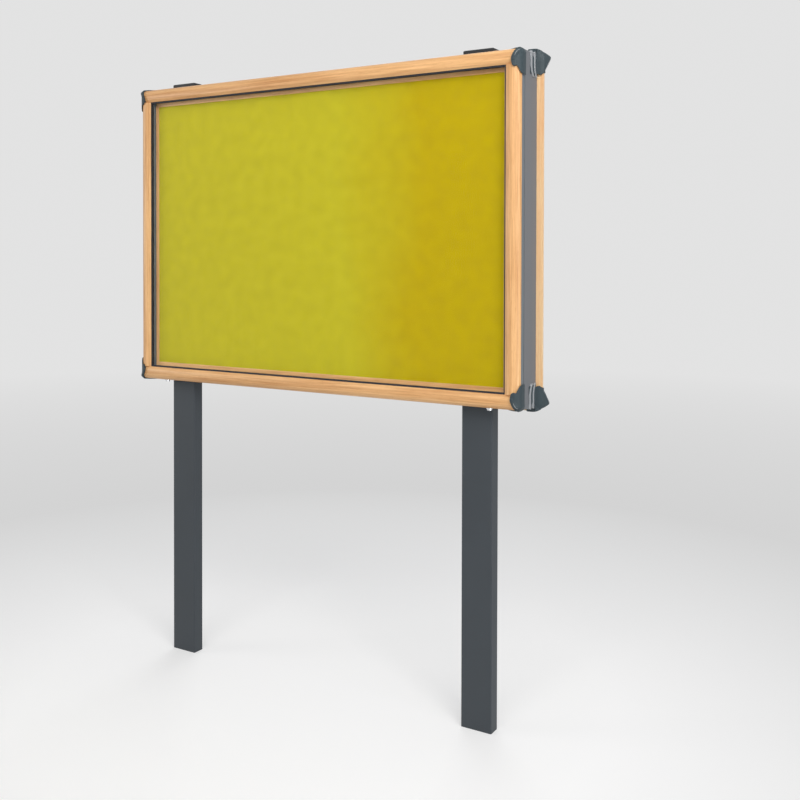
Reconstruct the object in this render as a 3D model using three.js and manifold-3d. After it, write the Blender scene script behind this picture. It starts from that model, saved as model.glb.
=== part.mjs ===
// A lockable, top-hung notice board carried between two posts.
// Millimetres, +Z up, front towards -Y. The origin lies midway between the feet of the posts.

import * as THREE from 'three';
import { ConvexGeometry } from 'three/addons/geometries/ConvexGeometry.js';
import { mergeVertices } from 'three/addons/utils/BufferGeometryUtils.js';
import Module from 'manifold-3d';

const wasm = await Module();
wasm.setup();

// Overall sizes
const boardWidth = 1400;
const boardHeight = 976;
const boardDepth = 130;
const groundToBoard = 918;
const fit = 0.3;

// Posts
const postWidth = 95;
const postDepth = 40;
const postWall = 3;
const postCorner = 3;
const postInset = 148.5;
const postRise = 18;
const postCapHeight = 15.7;
const postCapChamfer = 2;
const postPlugLength = 16;

// Wood-effect contour frame, measured from its outer edge and from the window edge's plane
const frameFace = 42;
const shoulderWidth = 24;
const crestRise = 6;
const contourDepth = 12.5;
const shoulderSteps = 7;
const faceSteps = 3;
const rearOverhang = 14;
const rearSideOverhang = 19;
const rearFrameDepth = 18;

// Door
const doorDepth = 29;
const carrierWall = 2;
const seamWidth = 3;
const glassThickness = 3.7;
const glassSetback = 5.3;
const gasketBite = 5.7;
const gasketLip = 4.5;
const rebateStart = 2;
const glassEdge = 1.7;
const sealWidth = 8;
const sealInset = 3;
const sealTopInset = 15.5;

// Case
const caseWall = 3;
const lipThickness = 2;
const lipHeight = 14;
const topLipHeight = 26;
const strutNotch = 52;
const slotClearance = 0.3;

// Pinboard
const pinboardDepth = 19;
const feltThickness = 2;
const coreThickness = 9.7;
const beadWidth = 15;
const beadGap = 2.5;
const beadThickness = 1.5;
const beadProud = 1.5;
const crossRailHeight = 45;
const crossRailWall = 1.6;
const crossRailInset = 150;
const backPanelSheet = 2;
const panelSeat = 12;
const panelSetback = 9;

// Corner caps
const capProud = 4.5;
const capRimProud = 1.2;
const capTopProud = 3;
const capRearEdge = 28.8;
const capCurveSteps = 3;
const rearCapProud = 3;
const rearCapLead = 8;
const collarDepth = 40;
const collarReach = 61;
const collarThickness = 1.6;

// Hinge
const hingeEndGap = 80;
const knuckleCount = 11;
const knuckleRadius = 2;
const hingePinRadius = 1;
const hingePinClearance = 0.2;
const hingeLift = 1.2;
const leafThickness = 0.9;
const leafHeight = 11;

// Locks
const lockInset = 98;
const lockFlangeRadius = 9;
const lockFlangeHeight = 3;
const lockBodyRadius = 5.6;
const lockBodyLength = 24;
const plugRadius = 3.4;
const plugClearance = 0.2;
const bezelRadius = 6.8;
const bezelHeight = 3.6;
const camThickness = 2.5;
const camReach = 21.8;
const camWidth = 8;
const hookLength = 5;
const hookThickness = 4;
const tenonWidth = 4.4;
const keeperThickness = 2.5;
const keeperWidth = 20;

// Struts
const strutInset = 28;
const cylinderRadius = 7.5;
const cylinderLength = 112;
const rodRadius = 3.5;
const rodClearance = 0.3;
const rodOverlap = 92;
const eyeRadius = 7.5;
const eyeWidth = 8;
const studRadius = 3;
const studClearance = 0.25;
const caseStudBehindHinge = 45;
const caseStudBelowHinge = 24;
const doorStudBehindHinge = 20;
const doorStudBelowHinge = 190;
const studPlate = 2;
const rodPinRadius = 2.5;
const rodPinLength = 9;
const slotTravel = 9.4;
const slotRise = 2.4;
const slotRim = 4;
const doorStudFoot = 16;

// Brackets between case and posts
const bracketWidth = 50;
const bracketLeg = 60;
const bracketThickness = 3;

// Places worked out from the sizes above
const halfWidth = boardWidth / 2;
const halfHeight = boardHeight / 2;
const boardCentre = groundToBoard + halfHeight;
const boardTop = groundToBoard + boardHeight;
const postCentre = halfWidth - postInset;
const windowHalfWidth = halfWidth - frameFace;
const windowHalfHeight = halfHeight - frameFace;
const caseFront = doorDepth + seamWidth;
const caseBack = boardDepth - rearFrameDepth;
const caseHalfHeight = halfHeight - fit;
const lockDepth = (contourDepth + fit + doorDepth) / 2;
const lockCentre = halfWidth - lockInset;
const strutCentre = halfWidth - strutInset;
const hingeLength = boardWidth - 2 * hingeEndGap;
const hingeDepth = doorDepth + seamWidth / 2;
const hingeHeight = halfHeight + hingeLift;
const postFront = (boardDepth - postDepth) / 2;
const postBack = postFront + postDepth;
const feltSetback = postFront - pinboardDepth;

// Finishes
const finishes = {
  woodEffect: { color: 0xe0ab70, roughness: 0.45, metalness: 0.0 },
  powderCoat: { color: 0x3d464c, roughness: 0.5, metalness: 0.2 },
  greyCase: { color: 0x808488, roughness: 0.45, metalness: 0.6 },
  moulding: { color: 0x4a5760, roughness: 0.5, metalness: 0.0 },
  blackPlastic: { color: 0x17191c, roughness: 0.6, metalness: 0.0 },
  rubber: { color: 0x1c1f24, roughness: 0.8, metalness: 0.0 },
  glass: { color: 0xdfe8ea, roughness: 0.05, metalness: 0.0, transparent: true, opacity: 0.2 },
  felt: { color: 0xb9b02c, roughness: 0.95, metalness: 0.0 },
  core: { color: 0xa98a5e, roughness: 0.9, metalness: 0.0 },
  steel: { color: 0xb8bcc0, roughness: 0.3, metalness: 1.0 },
  chrome: { color: 0xd8dadd, roughness: 0.1, metalness: 1.0 },
};

// Solids and geometry

function toSolid(geometry) {
  const bare = geometry.clone();
  bare.deleteAttribute('normal');
  bare.deleteAttribute('uv');
  const merged = mergeVertices(bare, 1e-5);
  const vertProperties = new Float32Array(merged.attributes.position.array);
  const triVerts = new Uint32Array(merged.index.array);
  return new wasm.Manifold(new wasm.Mesh({ numProp: 3, vertProperties, triVerts }));
}

function toGeometry(solid) {
  const mesh = solid.getMesh();
  const geometry = new THREE.BufferGeometry();
  const positions = new Float32Array(mesh.numVert * 3);
  for (let vertex = 0; vertex < mesh.numVert; vertex += 1) {
    for (let axis = 0; axis < 3; axis += 1) {
      positions[vertex * 3 + axis] = mesh.vertProperties[vertex * mesh.numProp + axis];
    }
  }
  geometry.setAttribute('position', new THREE.BufferAttribute(positions, 3));
  geometry.setIndex(new THREE.BufferAttribute(new Uint32Array(mesh.triVerts), 1));
  const faceted = geometry.toNonIndexed();
  faceted.computeVertexNormals();
  return faceted;
}

// Each extrusion axis takes its outline in the two axes named beside it.
const directions = {
  x: [new THREE.Vector3(0, 1, 0), new THREE.Vector3(0, 0, 1), new THREE.Vector3(1, 0, 0)],
  y: [new THREE.Vector3(0, 0, 1), new THREE.Vector3(1, 0, 0), new THREE.Vector3(0, 1, 0)],
  z: [new THREE.Vector3(1, 0, 0), new THREE.Vector3(0, 1, 0), new THREE.Vector3(0, 0, 1)],
};

function extrude(axis, outline, from, to) {
  const shape = new THREE.Shape(outline.map(([a, b]) => new THREE.Vector2(a, b)));
  const geometry = new THREE.ExtrudeGeometry(shape, { depth: to - from, bevelEnabled: false, steps: 1 });
  geometry.translate(0, 0, from);
  geometry.applyMatrix4(new THREE.Matrix4().makeBasis(...directions[axis]));
  return toSolid(geometry);
}

function tube(axis, outline, bore, from, to) {
  return extrude(axis, outline, from, to).subtract(extrude(axis, bore, from - 1, to + 1));
}

// The two ends along each axis can come in either order.
function box(x0, x1, y0, y1, z0, z1) {
  const geometry = new THREE.BoxGeometry(Math.abs(x1 - x0), Math.abs(y1 - y0), Math.abs(z1 - z0));
  geometry.translate((x0 + x1) / 2, (y0 + y1) / 2, (z0 + z1) / 2);
  return toSolid(geometry);
}

function rectangle(halfA, halfB) {
  return [[-halfA, -halfB], [halfA, -halfB], [halfA, halfB], [-halfA, halfB]];
}

function roundedRectangle(halfA, halfB, radius) {
  const steps = 3;
  const points = [];
  const corners = [[1, 1, 0], [-1, 1, 1], [-1, -1, 2], [1, -1, 3]];
  for (const [signA, signB, quarter] of corners) {
    for (let step = 0; step <= steps; step += 1) {
      const angle = (quarter + step / steps) * Math.PI / 2;
      points.push([
        signA * (halfA - radius) + radius * Math.cos(angle),
        signB * (halfB - radius) + radius * Math.sin(angle),
      ]);
    }
  }
  return points;
}

function cylinder(axis, radius, from, to, centreA = 0, centreB = 0, sides = 24) {
  const outline = [];
  for (let side = 0; side < sides; side += 1) {
    const angle = (side + 0.5) * 2 * Math.PI / sides;
    outline.push([centreA + radius * Math.cos(angle), centreB + radius * Math.sin(angle)]);
  }
  return extrude(axis, outline, from, to);
}

function hull(points) {
  return toSolid(new ConvexGeometry(points));
}

// Leaves out the slivers that a cut can leave beside the main body.
function largestPiece(solid) {
  const pieces = solid.decompose();
  return pieces.reduce((best, piece) => (piece.volume() > best.volume() ? piece : best));
}

// Scene graph

const noticeBoard = new THREE.Group();

function place(parent, name, finish, solid, position = [0, 0, 0]) {
  const mesh = new THREE.Mesh(toGeometry(solid), new THREE.MeshStandardMaterial(finishes[finish]));
  mesh.name = name;
  mesh.position.set(...position);
  parent.add(mesh);
  return mesh;
}

function groupAt(parent, x, y, z) {
  const group = new THREE.Group();
  group.position.set(x, y, z);
  parent.add(group);
  return group;
}

// Inside this group Y is the depth behind the window edge's plane, and Z runs from the board's centre.
const board = groupAt(noticeBoard, 0, -boardDepth / 2, boardCentre);

// Posts

function postSections() {
  const outside = roundedRectangle(postWidth / 2, postDepth / 2, postCorner);
  const inside = rectangle(postWidth / 2 - postWall, postDepth / 2 - postWall);
  return { outside, inside };
}

function postTube(height) {
  const { outside, inside } = postSections();
  return tube('z', outside, inside, 0, height);
}

function postCap() {
  const inner = [postWidth / 2 - postWall - fit, postDepth / 2 - postWall - fit];
  const levels = [[0, 0], [postCapHeight - postCapChamfer, 0], [postCapHeight, postCapChamfer]];
  const points = [];
  for (const [level, inset] of levels) {
    const outline = roundedRectangle(postWidth / 2 - inset, postDepth / 2 - inset, postCorner);
    points.push(...outline.map(([a, b]) => new THREE.Vector3(a, b, level)));
  }
  const plug = extrude('z', rectangle(...inner), -postPlugLength, 1);
  return hull(points).add(plug);
}

const postHeight = boardTop + postRise - postCapHeight - fit;
for (const [side, sign] of [['left', -1], ['right', 1]]) {
  const post = groupAt(noticeBoard, sign * postCentre, 0, 0);
  place(post, `${side}_post`, 'powderCoat', postTube(postHeight));
  place(post, `${side}_post_cap`, 'blackPlastic', postCap(), [0, 0, postHeight + fit]);
}

// Case: four channels with their lips turned inwards

function channel(depthFrom, depthTo, frontLip, backLip) {
  return [
    [depthFrom, 0],
    [depthTo, 0],
    [depthTo, backLip],
    [depthTo - lipThickness, backLip],
    [depthTo - lipThickness, caseWall],
    [depthFrom + lipThickness, caseWall],
    [depthFrom + lipThickness, frontLip],
    [depthFrom, frontLip],
  ];
}

function caseSide(sign) {
  const section = channel(caseFront, caseBack, lipHeight, lipHeight);
  const outline = section.map(([depth, inwards]) => [sign * (halfWidth - inwards), depth]);
  return extrude('z', outline, -caseHalfHeight, caseHalfHeight);
}

function caseRail(sign, frontLip) {
  const length = halfWidth - caseWall - fit;
  const section = channel(caseFront, caseBack, frontLip, lipHeight);
  const outline = section.map(([depth, inwards]) => [depth, sign * (caseHalfHeight - inwards)]);
  const sideLip = halfWidth - lipHeight - fit;
  const lipFoot = sign * (caseHalfHeight - lipHeight);
  const lipHead = sign * (caseHalfHeight - frontLip - 1);
  const slot = lipThickness + fit;
  let rail = extrude('x', outline, -length, length);
  for (const end of [-1, 1]) {
    const postFrom = end * postCentre - postWidth / 2 - slotClearance;
    const postTo = end * postCentre + postWidth / 2 + slotClearance;
    rail = rail.subtract(box(
      postFrom, postTo, postFront - slotClearance, postBack + slotClearance, 0, sign * boardHeight,
    ));
    rail = rail.subtract(box(
      end * (halfWidth - strutNotch), end * halfWidth, caseFront - 1, caseFront + slot, lipFoot, lipHead,
    ));
    for (const slotFrom of [caseFront - 1, caseBack - slot]) {
      rail = rail.subtract(box(
        end * sideLip, end * halfWidth, slotFrom, slotFrom + slot + 1, 0, sign * boardHeight,
      ));
    }
  }
  return rail;
}

place(board, 'case_left_side', 'greyCase', caseSide(-1));
place(board, 'case_right_side', 'greyCase', caseSide(1));
place(board, 'case_top_rail', 'greyCase', caseRail(1, topLipHeight));
place(board, 'case_bottom_rail', 'greyCase', caseRail(-1, lipHeight));

// Angle brackets between the case rails and the backs of the posts

function postBracket(level) {
  const seat = caseHalfHeight - caseWall - fit;
  const back = postBack + fit;
  const section = [
    [back, seat],
    [caseBack - lipThickness - fit, seat],
    [caseBack - lipThickness - fit, seat - bracketThickness],
    [back + bracketThickness, seat - bracketThickness],
    [back + bracketThickness, seat - bracketLeg],
    [back, seat - bracketLeg],
  ];
  return extrude('x', section.map(([a, b]) => [a, level * b]), -bracketWidth / 2, bracketWidth / 2);
}

for (const [side, sign] of [['left', -1], ['right', 1]]) {
  for (const [height, level] of [['upper', 1], ['lower', -1]]) {
    place(board, `${side}_${height}_bracket`, 'steel', postBracket(level), [sign * postCentre, 0, 0]);
  }
}

// Pinboard, its bead and the cross rails that carry it

const feltFace = feltSetback + fit;
const coreFront = feltFace + feltThickness + fit;
const coreBack = coreFront + coreThickness;
const boardEdge = frameFace + beadGap + beadThickness + fit;
const pinHalfWidth = halfWidth - boardEdge;
const pinHalfHeight = halfHeight - boardEdge;

function slabBetween(halfA, halfB, front, back) {
  return box(-halfA, halfA, front, back, -halfB, halfB);
}

function bead() {
  const outside = frameFace + beadGap;
  const front = feltSetback - beadProud;
  const body = slabBetween(halfWidth - outside, halfHeight - outside, front, coreBack);
  const seat = slabBetween(pinHalfWidth + fit, pinHalfHeight + fit, feltSetback, coreBack + 1);
  const opening = slabBetween(
    windowHalfWidth - beadWidth, windowHalfHeight - beadWidth, front - 1, coreBack,
  );
  return body.subtract(seat).subtract(opening);
}

function crossRail() {
  const depth = postFront - coreBack - 2 * fit;
  const section = [
    [0, 0],
    [depth, 0],
    [depth, crossRailWall],
    [crossRailWall, crossRailWall],
    [crossRailWall, crossRailHeight - crossRailWall],
    [depth, crossRailHeight - crossRailWall],
    [depth, crossRailHeight],
    [0, crossRailHeight],
  ];
  const half = pinHalfWidth - panelSeat;
  return extrude('x', section, -half, half);
}

place(board, 'pinboard_felt', 'felt', slabBetween(pinHalfWidth, pinHalfHeight, feltFace, coreFront - fit));
place(board, 'pinboard_core', 'core', slabBetween(pinHalfWidth, pinHalfHeight, coreFront, coreBack));
place(board, 'pinboard_bead', 'woodEffect', bead());
const crossRailLevel = halfHeight - crossRailInset - crossRailHeight / 2;
for (const [height, level] of [['upper', 1], ['lower', -1]]) {
  const foot = level * crossRailLevel - crossRailHeight / 2;
  place(board, `${height}_cross_rail`, 'steel', crossRail(), [0, coreBack + fit, foot]);
}

// Contour frames

// The contour from the outer edge inwards, as distance from the edge and height over the window edge.
function contourPoints(grow) {
  const points = [[-grow, -contourDepth]];
  for (let step = 1; step <= shoulderSteps; step += 1) {
    const angle = step / shoulderSteps * Math.PI / 2;
    const inwards = shoulderWidth * (1 - Math.cos(angle)) - grow * Math.cos(angle);
    const height = (contourDepth + crestRise + grow) * Math.sin(angle) - contourDepth;
    points.push([inwards, height]);
  }
  return points;
}

function facePoints(grow) {
  const points = [];
  for (let step = 1; step <= faceSteps; step += 1) {
    const share = step / faceSteps;
    const inwards = shoulderWidth + (frameFace - shoulderWidth) * share;
    points.push([inwards, crestRise * (1 - share * share) + grow]);
  }
  return points;
}

// One frame of four straight profiles. It faces -Y from the plane given, or +Y when facing is 1.
// The rails run the full width and the stiles stand between them.
function contourFrame({ halfA, halfB, facePlane, facing, back, grow }) {
  const shoulder = contourPoints(grow);
  const inner = frameFace + grow;
  const section = (reach, sign) => [
    [back, sign * (reach + grow)],
    ...[...shoulder, ...facePoints(grow)].map(([inwards, height]) => (
      [facePlane + facing * height, sign * (reach - inwards)])),
    [facePlane + facing * grow, sign * (reach - inner)],
    [back, sign * (reach - inner)],
  ];
  const upright = (outline) => outline.map(([depth, across]) => [across, depth]);
  const ends = [
    [back, halfA + grow],
    ...shoulder.map(([inwards, height]) => [facePlane + facing * height, halfA - inwards]),
    ...shoulder.map(([inwards, height]) => [facePlane + facing * height, inwards - halfA]).reverse(),
    [back, -halfA - grow],
  ];
  const rounded = extrude('z', upright(ends), -halfB - grow - 1, halfB + grow + 1);
  const rail = (sign) => extrude('x', section(halfB, sign), -halfA - grow - 1, halfA + grow + 1).intersect(rounded);
  const joint = halfB - frameFace - fit + grow;
  const stile = (sign) => extrude('z', upright(section(halfA, sign)), -joint, joint);
  return { top: rail(1), bottom: rail(-1), left: stile(-1), right: stile(1) };
}

function joined(frame) {
  return frame.top.add(frame.bottom).add(frame.left).add(frame.right);
}

const door = groupAt(board, 0, 0, 0);
const doorShape = { halfA: halfWidth, halfB: halfHeight, facePlane: 0, facing: -1, back: contourDepth };
const doorRails = contourFrame({ ...doorShape, grow: 0 });
const doorRebate = slabBetween(
  windowHalfWidth + gasketBite + fit, windowHalfHeight + gasketBite + fit, rebateStart, contourDepth + 1,
);
place(door, 'door_top_rail', 'woodEffect', doorRails.top.subtract(doorRebate));
place(door, 'door_bottom_rail', 'woodEffect', doorRails.bottom.subtract(doorRebate));
place(door, 'door_left_stile', 'woodEffect', doorRails.left.subtract(doorRebate));
place(door, 'door_right_stile', 'woodEffect', doorRails.right.subtract(doorRebate));

// Hollow aluminium carrier behind the door's contour

const carrierFront = contourDepth + fit;

function tubeSection(low, high) {
  const outer = [[carrierFront, low], [doorDepth, low], [doorDepth, high], [carrierFront, high]];
  const inner = [
    [carrierFront + carrierWall, low + carrierWall],
    [doorDepth - carrierWall, low + carrierWall],
    [doorDepth - carrierWall, high - carrierWall],
    [carrierFront + carrierWall, high - carrierWall],
  ];
  return { outer, inner };
}

function carrierRail(level) {
  const { outer, inner } = tubeSection(halfHeight - frameFace + fit, halfHeight - fit);
  const flip = (points) => points.map(([a, b]) => [a, level * b]);
  return tube('x', flip(outer), flip(inner), -halfWidth + fit, halfWidth - fit);
}

function carrierStile(sign) {
  const { outer, inner } = tubeSection(halfWidth - frameFace + fit, halfWidth - fit);
  const turn = (points) => points.map(([a, b]) => [sign * b, a]);
  return tube('z', turn(outer), turn(inner), -windowHalfHeight, windowHalfHeight);
}

const lockFoot = -halfHeight;
const camLow = lockFoot + lockBodyLength + fit;
const camHigh = camLow + camThickness;

function bottomCarrier() {
  let rail = carrierRail(-1);
  for (const sign of [-1, 1]) {
    rail = rail.subtract(cylinder('z', lockBodyRadius + fit, lockFoot - 1, lockFoot + carrierWall + 1,
      sign * lockCentre, lockDepth));
    const sweepFrom = sign * (lockCentre - camReach - 3);
    const sweepTo = sign * (lockCentre + camWidth / 2 + 2);
    rail = rail.subtract(box(sweepFrom, sweepTo, doorDepth - carrierWall - 1, doorDepth + 1,
      camLow - 1, camHigh + 1));
  }
  return rail;
}

place(door, 'carrier_top', 'greyCase', carrierRail(1));
place(door, 'carrier_bottom', 'greyCase', bottomCarrier());
place(door, 'carrier_left', 'greyCase', carrierStile(-1));
place(door, 'carrier_right', 'greyCase', carrierStile(1));

// Glazing and its gasket

function gasket() {
  const front = rebateStart + fit;
  const back = contourDepth - fit;
  const outer = slabBetween(windowHalfWidth + gasketBite, windowHalfHeight + gasketBite, front, back);
  const inner = slabBetween(windowHalfWidth - gasketLip, windowHalfHeight - gasketLip, front - 1, back + 1);
  const groove = slabBetween(
    windowHalfWidth + glassEdge + fit, windowHalfHeight + glassEdge + fit,
    glassSetback - fit, glassSetback + glassThickness + fit,
  );
  return outer.subtract(inner).subtract(groove);
}

place(door, 'glazing_gasket', 'rubber', gasket());
place(door, 'glazing', 'glass', slabBetween(
  windowHalfWidth + glassEdge, windowHalfHeight + glassEdge, glassSetback, glassSetback + glassThickness,
));

// Weather seal on the back of the door

function weatherSeal() {
  const front = doorDepth + fit;
  const back = caseFront - fit;
  const top = halfHeight - sealTopInset;
  const side = halfWidth - sealInset;
  const bottom = -halfHeight + sealInset;
  const outer = box(-side, side, front, back, bottom, top);
  const inner = box(-side + sealWidth, side - sealWidth, front - 1, back + 1, bottom + sealWidth, top - sealWidth);
  return outer.subtract(inner);
}

place(door, 'weather_seal', 'rubber', weatherSeal());

// Corner caps

// Outlines of a cap, as distance in from the frame's side edge and drop from its top edge.
// The cap covers the corner up to its nose, and a rim runs round the nose from the ridge.
const capFace = [[5.5, -5], [11, 3], [18, 17], [23, 31], [19.5, 46], [13.6, 50], [7, 48.5]];
const capLowerEdge = [[7, 48.5], [3, 58], [-1, 67], [-6, 73]];
const capRidge = [[-6, 0], [1.4, 10], [6.5, 20], [9, 29], [8, 40], [7, 48.5]];
const capSideLow = [[-14, 58], [2, 67.5], [13, 74.5], [capRearEdge, 75]];
const capTopLobe = [[4, 0], [14, 7], [28, 15], [40, 22], [47, capRearEdge]];

function smooth(points) {
  const curve = new THREE.SplineCurve(points.map(([a, b]) => new THREE.Vector2(a, b)));
  return curve.getPoints(capCurveSteps * (points.length - 1)).map((point) => [point.x, point.y]);
}

// A prism through the frame from front to back, with its outline measured from the upper right corner.
function facePrism(outline, cornerX, cornerZ) {
  const placed = outline.map(([inwards, drop]) => [cornerZ - drop, cornerX - inwards]);
  return extrude('y', placed, -boardDepth, 2 * boardDepth);
}

// Everything within the grown contour of the door, down to the seam.
function doorSkin(grow) {
  return joined(contourFrame({ ...doorShape, grow }))
    .add(slabBetween(halfWidth + grow, halfHeight + grow, contourDepth - 1, capRearEdge));
}

function doorCap() {
  const far = 2 * capProud;
  const above = [[-far, -far], [capFace[0][0], -far]];
  const lowest = [-far, capLowerEdge.at(-1)[1]];
  const face = facePrism([...above, ...smooth(capFace), ...smooth(capLowerEdge), lowest], halfWidth, halfHeight);
  const side = extrude('x', [
    [capSideLow[0][0], halfHeight + far],
    [capRearEdge, halfHeight + far],
    ...smooth(capSideLow).reverse().map(([depth, drop]) => [depth, halfHeight - drop]),
  ], 0, boardWidth);
  const rim = facePrism([...above, ...smooth(capFace), ...smooth(capRidge).reverse()], halfWidth, halfHeight);
  const lobe = extrude('z', [
    [halfWidth + capProud, 0],
    ...smooth(capTopLobe).map(([inwards, depth]) => [halfWidth - inwards, depth]),
    [halfWidth + capProud, capRearEdge],
  ], halfHeight - contourDepth / 2, boardHeight);
  const body = doorSkin(capProud).intersect(face).intersect(side);
  const raised = doorSkin(capProud + capRimProud).intersect(rim).intersect(side);
  return body.add(raised).add(doorSkin(capTopProud).intersect(lobe));
}

const doorEnvelope = joined(contourFrame({ ...doorShape, grow: fit }))
  .add(slabBetween(halfWidth + fit, halfHeight + fit, contourDepth - 1, caseFront));

// Mirrors a geometry in X, Z or both, and keeps its faces outwards.
function mirrored(geometry, signX, signZ) {
  const copy = geometry.clone();
  copy.scale(signX, 1, signZ);
  if (signX * signZ < 0) {
    const position = copy.attributes.position;
    for (let corner = 0; corner < position.count; corner += 3) {
      const swap = new THREE.Vector3().fromBufferAttribute(position, corner + 1);
      const last = new THREE.Vector3().fromBufferAttribute(position, corner + 2);
      position.setXYZ(corner + 1, last.x, last.y, last.z);
      position.setXYZ(corner + 2, swap.x, swap.y, swap.z);
    }
  }
  return copy;
}

// Places a cap, made for the upper right corner, on all four corners.
function placeCaps(parent, prefix, cap) {
  for (const [side, signX] of [['left', -1], ['right', 1]]) {
    for (const [height, signZ] of [['top', 1], ['bottom', -1]]) {
      const copy = toSolid(mirrored(toGeometry(cap), signX, signZ));
      place(parent, `${prefix}_cap_${height}_${side}`, 'moulding', copy);
    }
  }
}

placeCaps(door, 'door', largestPiece(doorCap().subtract(doorEnvelope)));

// Rear frame, larger than the door all round, with its back panel and caps

const rearHalfWidth = halfWidth + rearSideOverhang;
const rearHalfHeight = halfHeight + rearOverhang;
const rearFront = caseBack + fit;

const rearShape = {
  halfA: rearHalfWidth, halfB: rearHalfHeight, facePlane: boardDepth, facing: 1, back: rearFront,
};
const rearRails = contourFrame({ ...rearShape, grow: 0 });
const rearRebate = slabBetween(
  rearHalfWidth - frameFace + panelSeat, rearHalfHeight - frameFace + panelSeat,
  rearFront - 1, boardDepth - panelSetback,
);
place(board, 'rear_top_rail', 'woodEffect', rearRails.top.subtract(rearRebate));
place(board, 'rear_bottom_rail', 'woodEffect', rearRails.bottom.subtract(rearRebate));
place(board, 'rear_left_stile', 'woodEffect', rearRails.left.subtract(rearRebate));
place(board, 'rear_right_stile', 'woodEffect', rearRails.right.subtract(rearRebate));

function backPanel() {
  const halfA = rearHalfWidth - frameFace + panelSeat - fit;
  const halfB = rearHalfHeight - frameFace + panelSeat - fit;
  const back = boardDepth - panelSetback - fit;
  const tray = slabBetween(halfA, halfB, rearFront, back);
  const hollow = slabBetween(halfA - backPanelSheet, halfB - backPanelSheet, rearFront - 1, back - backPanelSheet);
  return tray.subtract(hollow);
}

place(board, 'back_panel', 'greyCase', backPanel());

const rearEnvelope = joined(contourFrame({ ...rearShape, back: rearFront - fit, grow: fit }))
  .add(slabBetween(halfWidth + fit, halfHeight + fit, caseFront, rearFront));

// The side leaf stands out beyond the frame like an ear. Each level gives its depth, its distance outside
// the frame, and how far down from the frame's top it starts and ends.
const rearCapFront = caseBack - rearCapLead;
const rearLeaf = [
  { depth: rearCapFront, out: collarThickness + fit - rearSideOverhang, top: -3, low: 70 },
  { depth: rearCapFront + 3.5, out: -6, top: -3, low: 73.5 },
  { depth: caseBack, out: 2.5, top: -3, low: 68 },
  { depth: caseBack + 15, out: 5.5, top: 6, low: 50 },
  { depth: caseBack + 29, out: 8, top: 12, low: 32 },
  { depth: caseBack + 38, out: 9, top: 16, low: 20 },
  { depth: caseBack + 36, out: 0, top: 16, low: 20 },
  { depth: caseBack + 22, out: -12, top: 10, low: 40 },
];
const rearFace = [[46, -3], [40, 12], [27, 30], [14, 48], [0, 66]];

function rearCap() {
  const points = [];
  for (const { depth, out, top, low } of rearLeaf) {
    for (const drop of [top, low]) {
      points.push(new THREE.Vector3(rearHalfWidth + out, depth, rearHalfHeight - drop));
    }
  }
  const leaf = hull(points);
  const far = 2 * rearCapProud;
  const face = facePrism([[-far, -far], [rearFace[0][0], -far], ...smooth(rearFace), [-far, rearFace.at(-1)[1]]],
    rearHalfWidth, rearHalfHeight);
  const skin = joined(contourFrame({ ...rearShape, back: caseBack, grow: rearCapProud })).intersect(face);
  const collarLevel = halfHeight + fit + collarThickness;
  const ramp = [];
  for (const across of [rearHalfWidth - rearFace[0][0], halfWidth]) {
    for (const [depth, level] of [
      [rearCapFront, halfHeight], [rearCapFront, collarLevel],
      [caseBack, rearHalfHeight + rearCapProud], [caseBack + 1, rearHalfHeight + rearCapProud],
      [caseBack + 1, halfHeight],
    ]) {
      ramp.push(new THREE.Vector3(across, depth, level));
    }
  }
  const collarFront = rearCapFront - collarDepth;
  const reach = halfWidth + fit + collarThickness;
  const sidePlate = box(halfWidth, reach, collarFront, caseBack - 1, halfHeight - collarReach, collarLevel);
  const topPlate = box(halfWidth - collarReach, reach, collarFront, caseBack - 1, halfHeight, collarLevel);
  return leaf.add(skin).add(hull(ramp)).add(sidePlate).add(topPlate);
}

placeCaps(board, 'rear', largestPiece(rearCap().subtract(rearEnvelope)));

// Hinge along the top: leaves in the seam, alternate knuckles, one pin

function hingeLeaf(parity, platesFrom, plateTop) {
  const pitch = hingeLength / knuckleCount;
  let leaf = box(-hingeLength / 2, hingeLength / 2, platesFrom, platesFrom + leafThickness,
    plateTop - leafHeight, plateTop);
  for (let knuckle = parity; knuckle < knuckleCount; knuckle += 2) {
    const from = -hingeLength / 2 + knuckle * pitch + fit;
    const to = from + pitch - 2 * fit;
    leaf = leaf.add(box(from, to, platesFrom, platesFrom + leafThickness, plateTop - 1, hingeHeight));
    leaf = leaf.add(cylinder('x', knuckleRadius, from, to, hingeDepth, hingeHeight, 12));
  }
  const bore = cylinder('x', hingePinRadius + hingePinClearance, -hingeLength, hingeLength,
    hingeDepth, hingeHeight, 12);
  return leaf.subtract(bore);
}

const leafTop = hingeHeight - knuckleRadius - fit;
place(door, 'hinge_door_leaf', 'steel', hingeLeaf(0, doorDepth + fit, leafTop));
place(board, 'hinge_case_leaf', 'steel', hingeLeaf(1, caseFront - fit - leafThickness, leafTop));
place(board, 'hinge_pin', 'steel', cylinder('x', hingePinRadius, -hingeLength / 2, hingeLength / 2,
  hingeDepth, hingeHeight, 12));

// Locks

function lockBarrel() {
  const flange = cylinder('z', lockFlangeRadius, -lockFlangeHeight - fit, -fit);
  const body = cylinder('z', lockBodyRadius, -fit - 1, lockBodyLength);
  const bore = cylinder('z', plugRadius + plugClearance, -lockFlangeHeight - 1, lockBodyLength + 1);
  return flange.add(body).subtract(bore);
}

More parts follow.
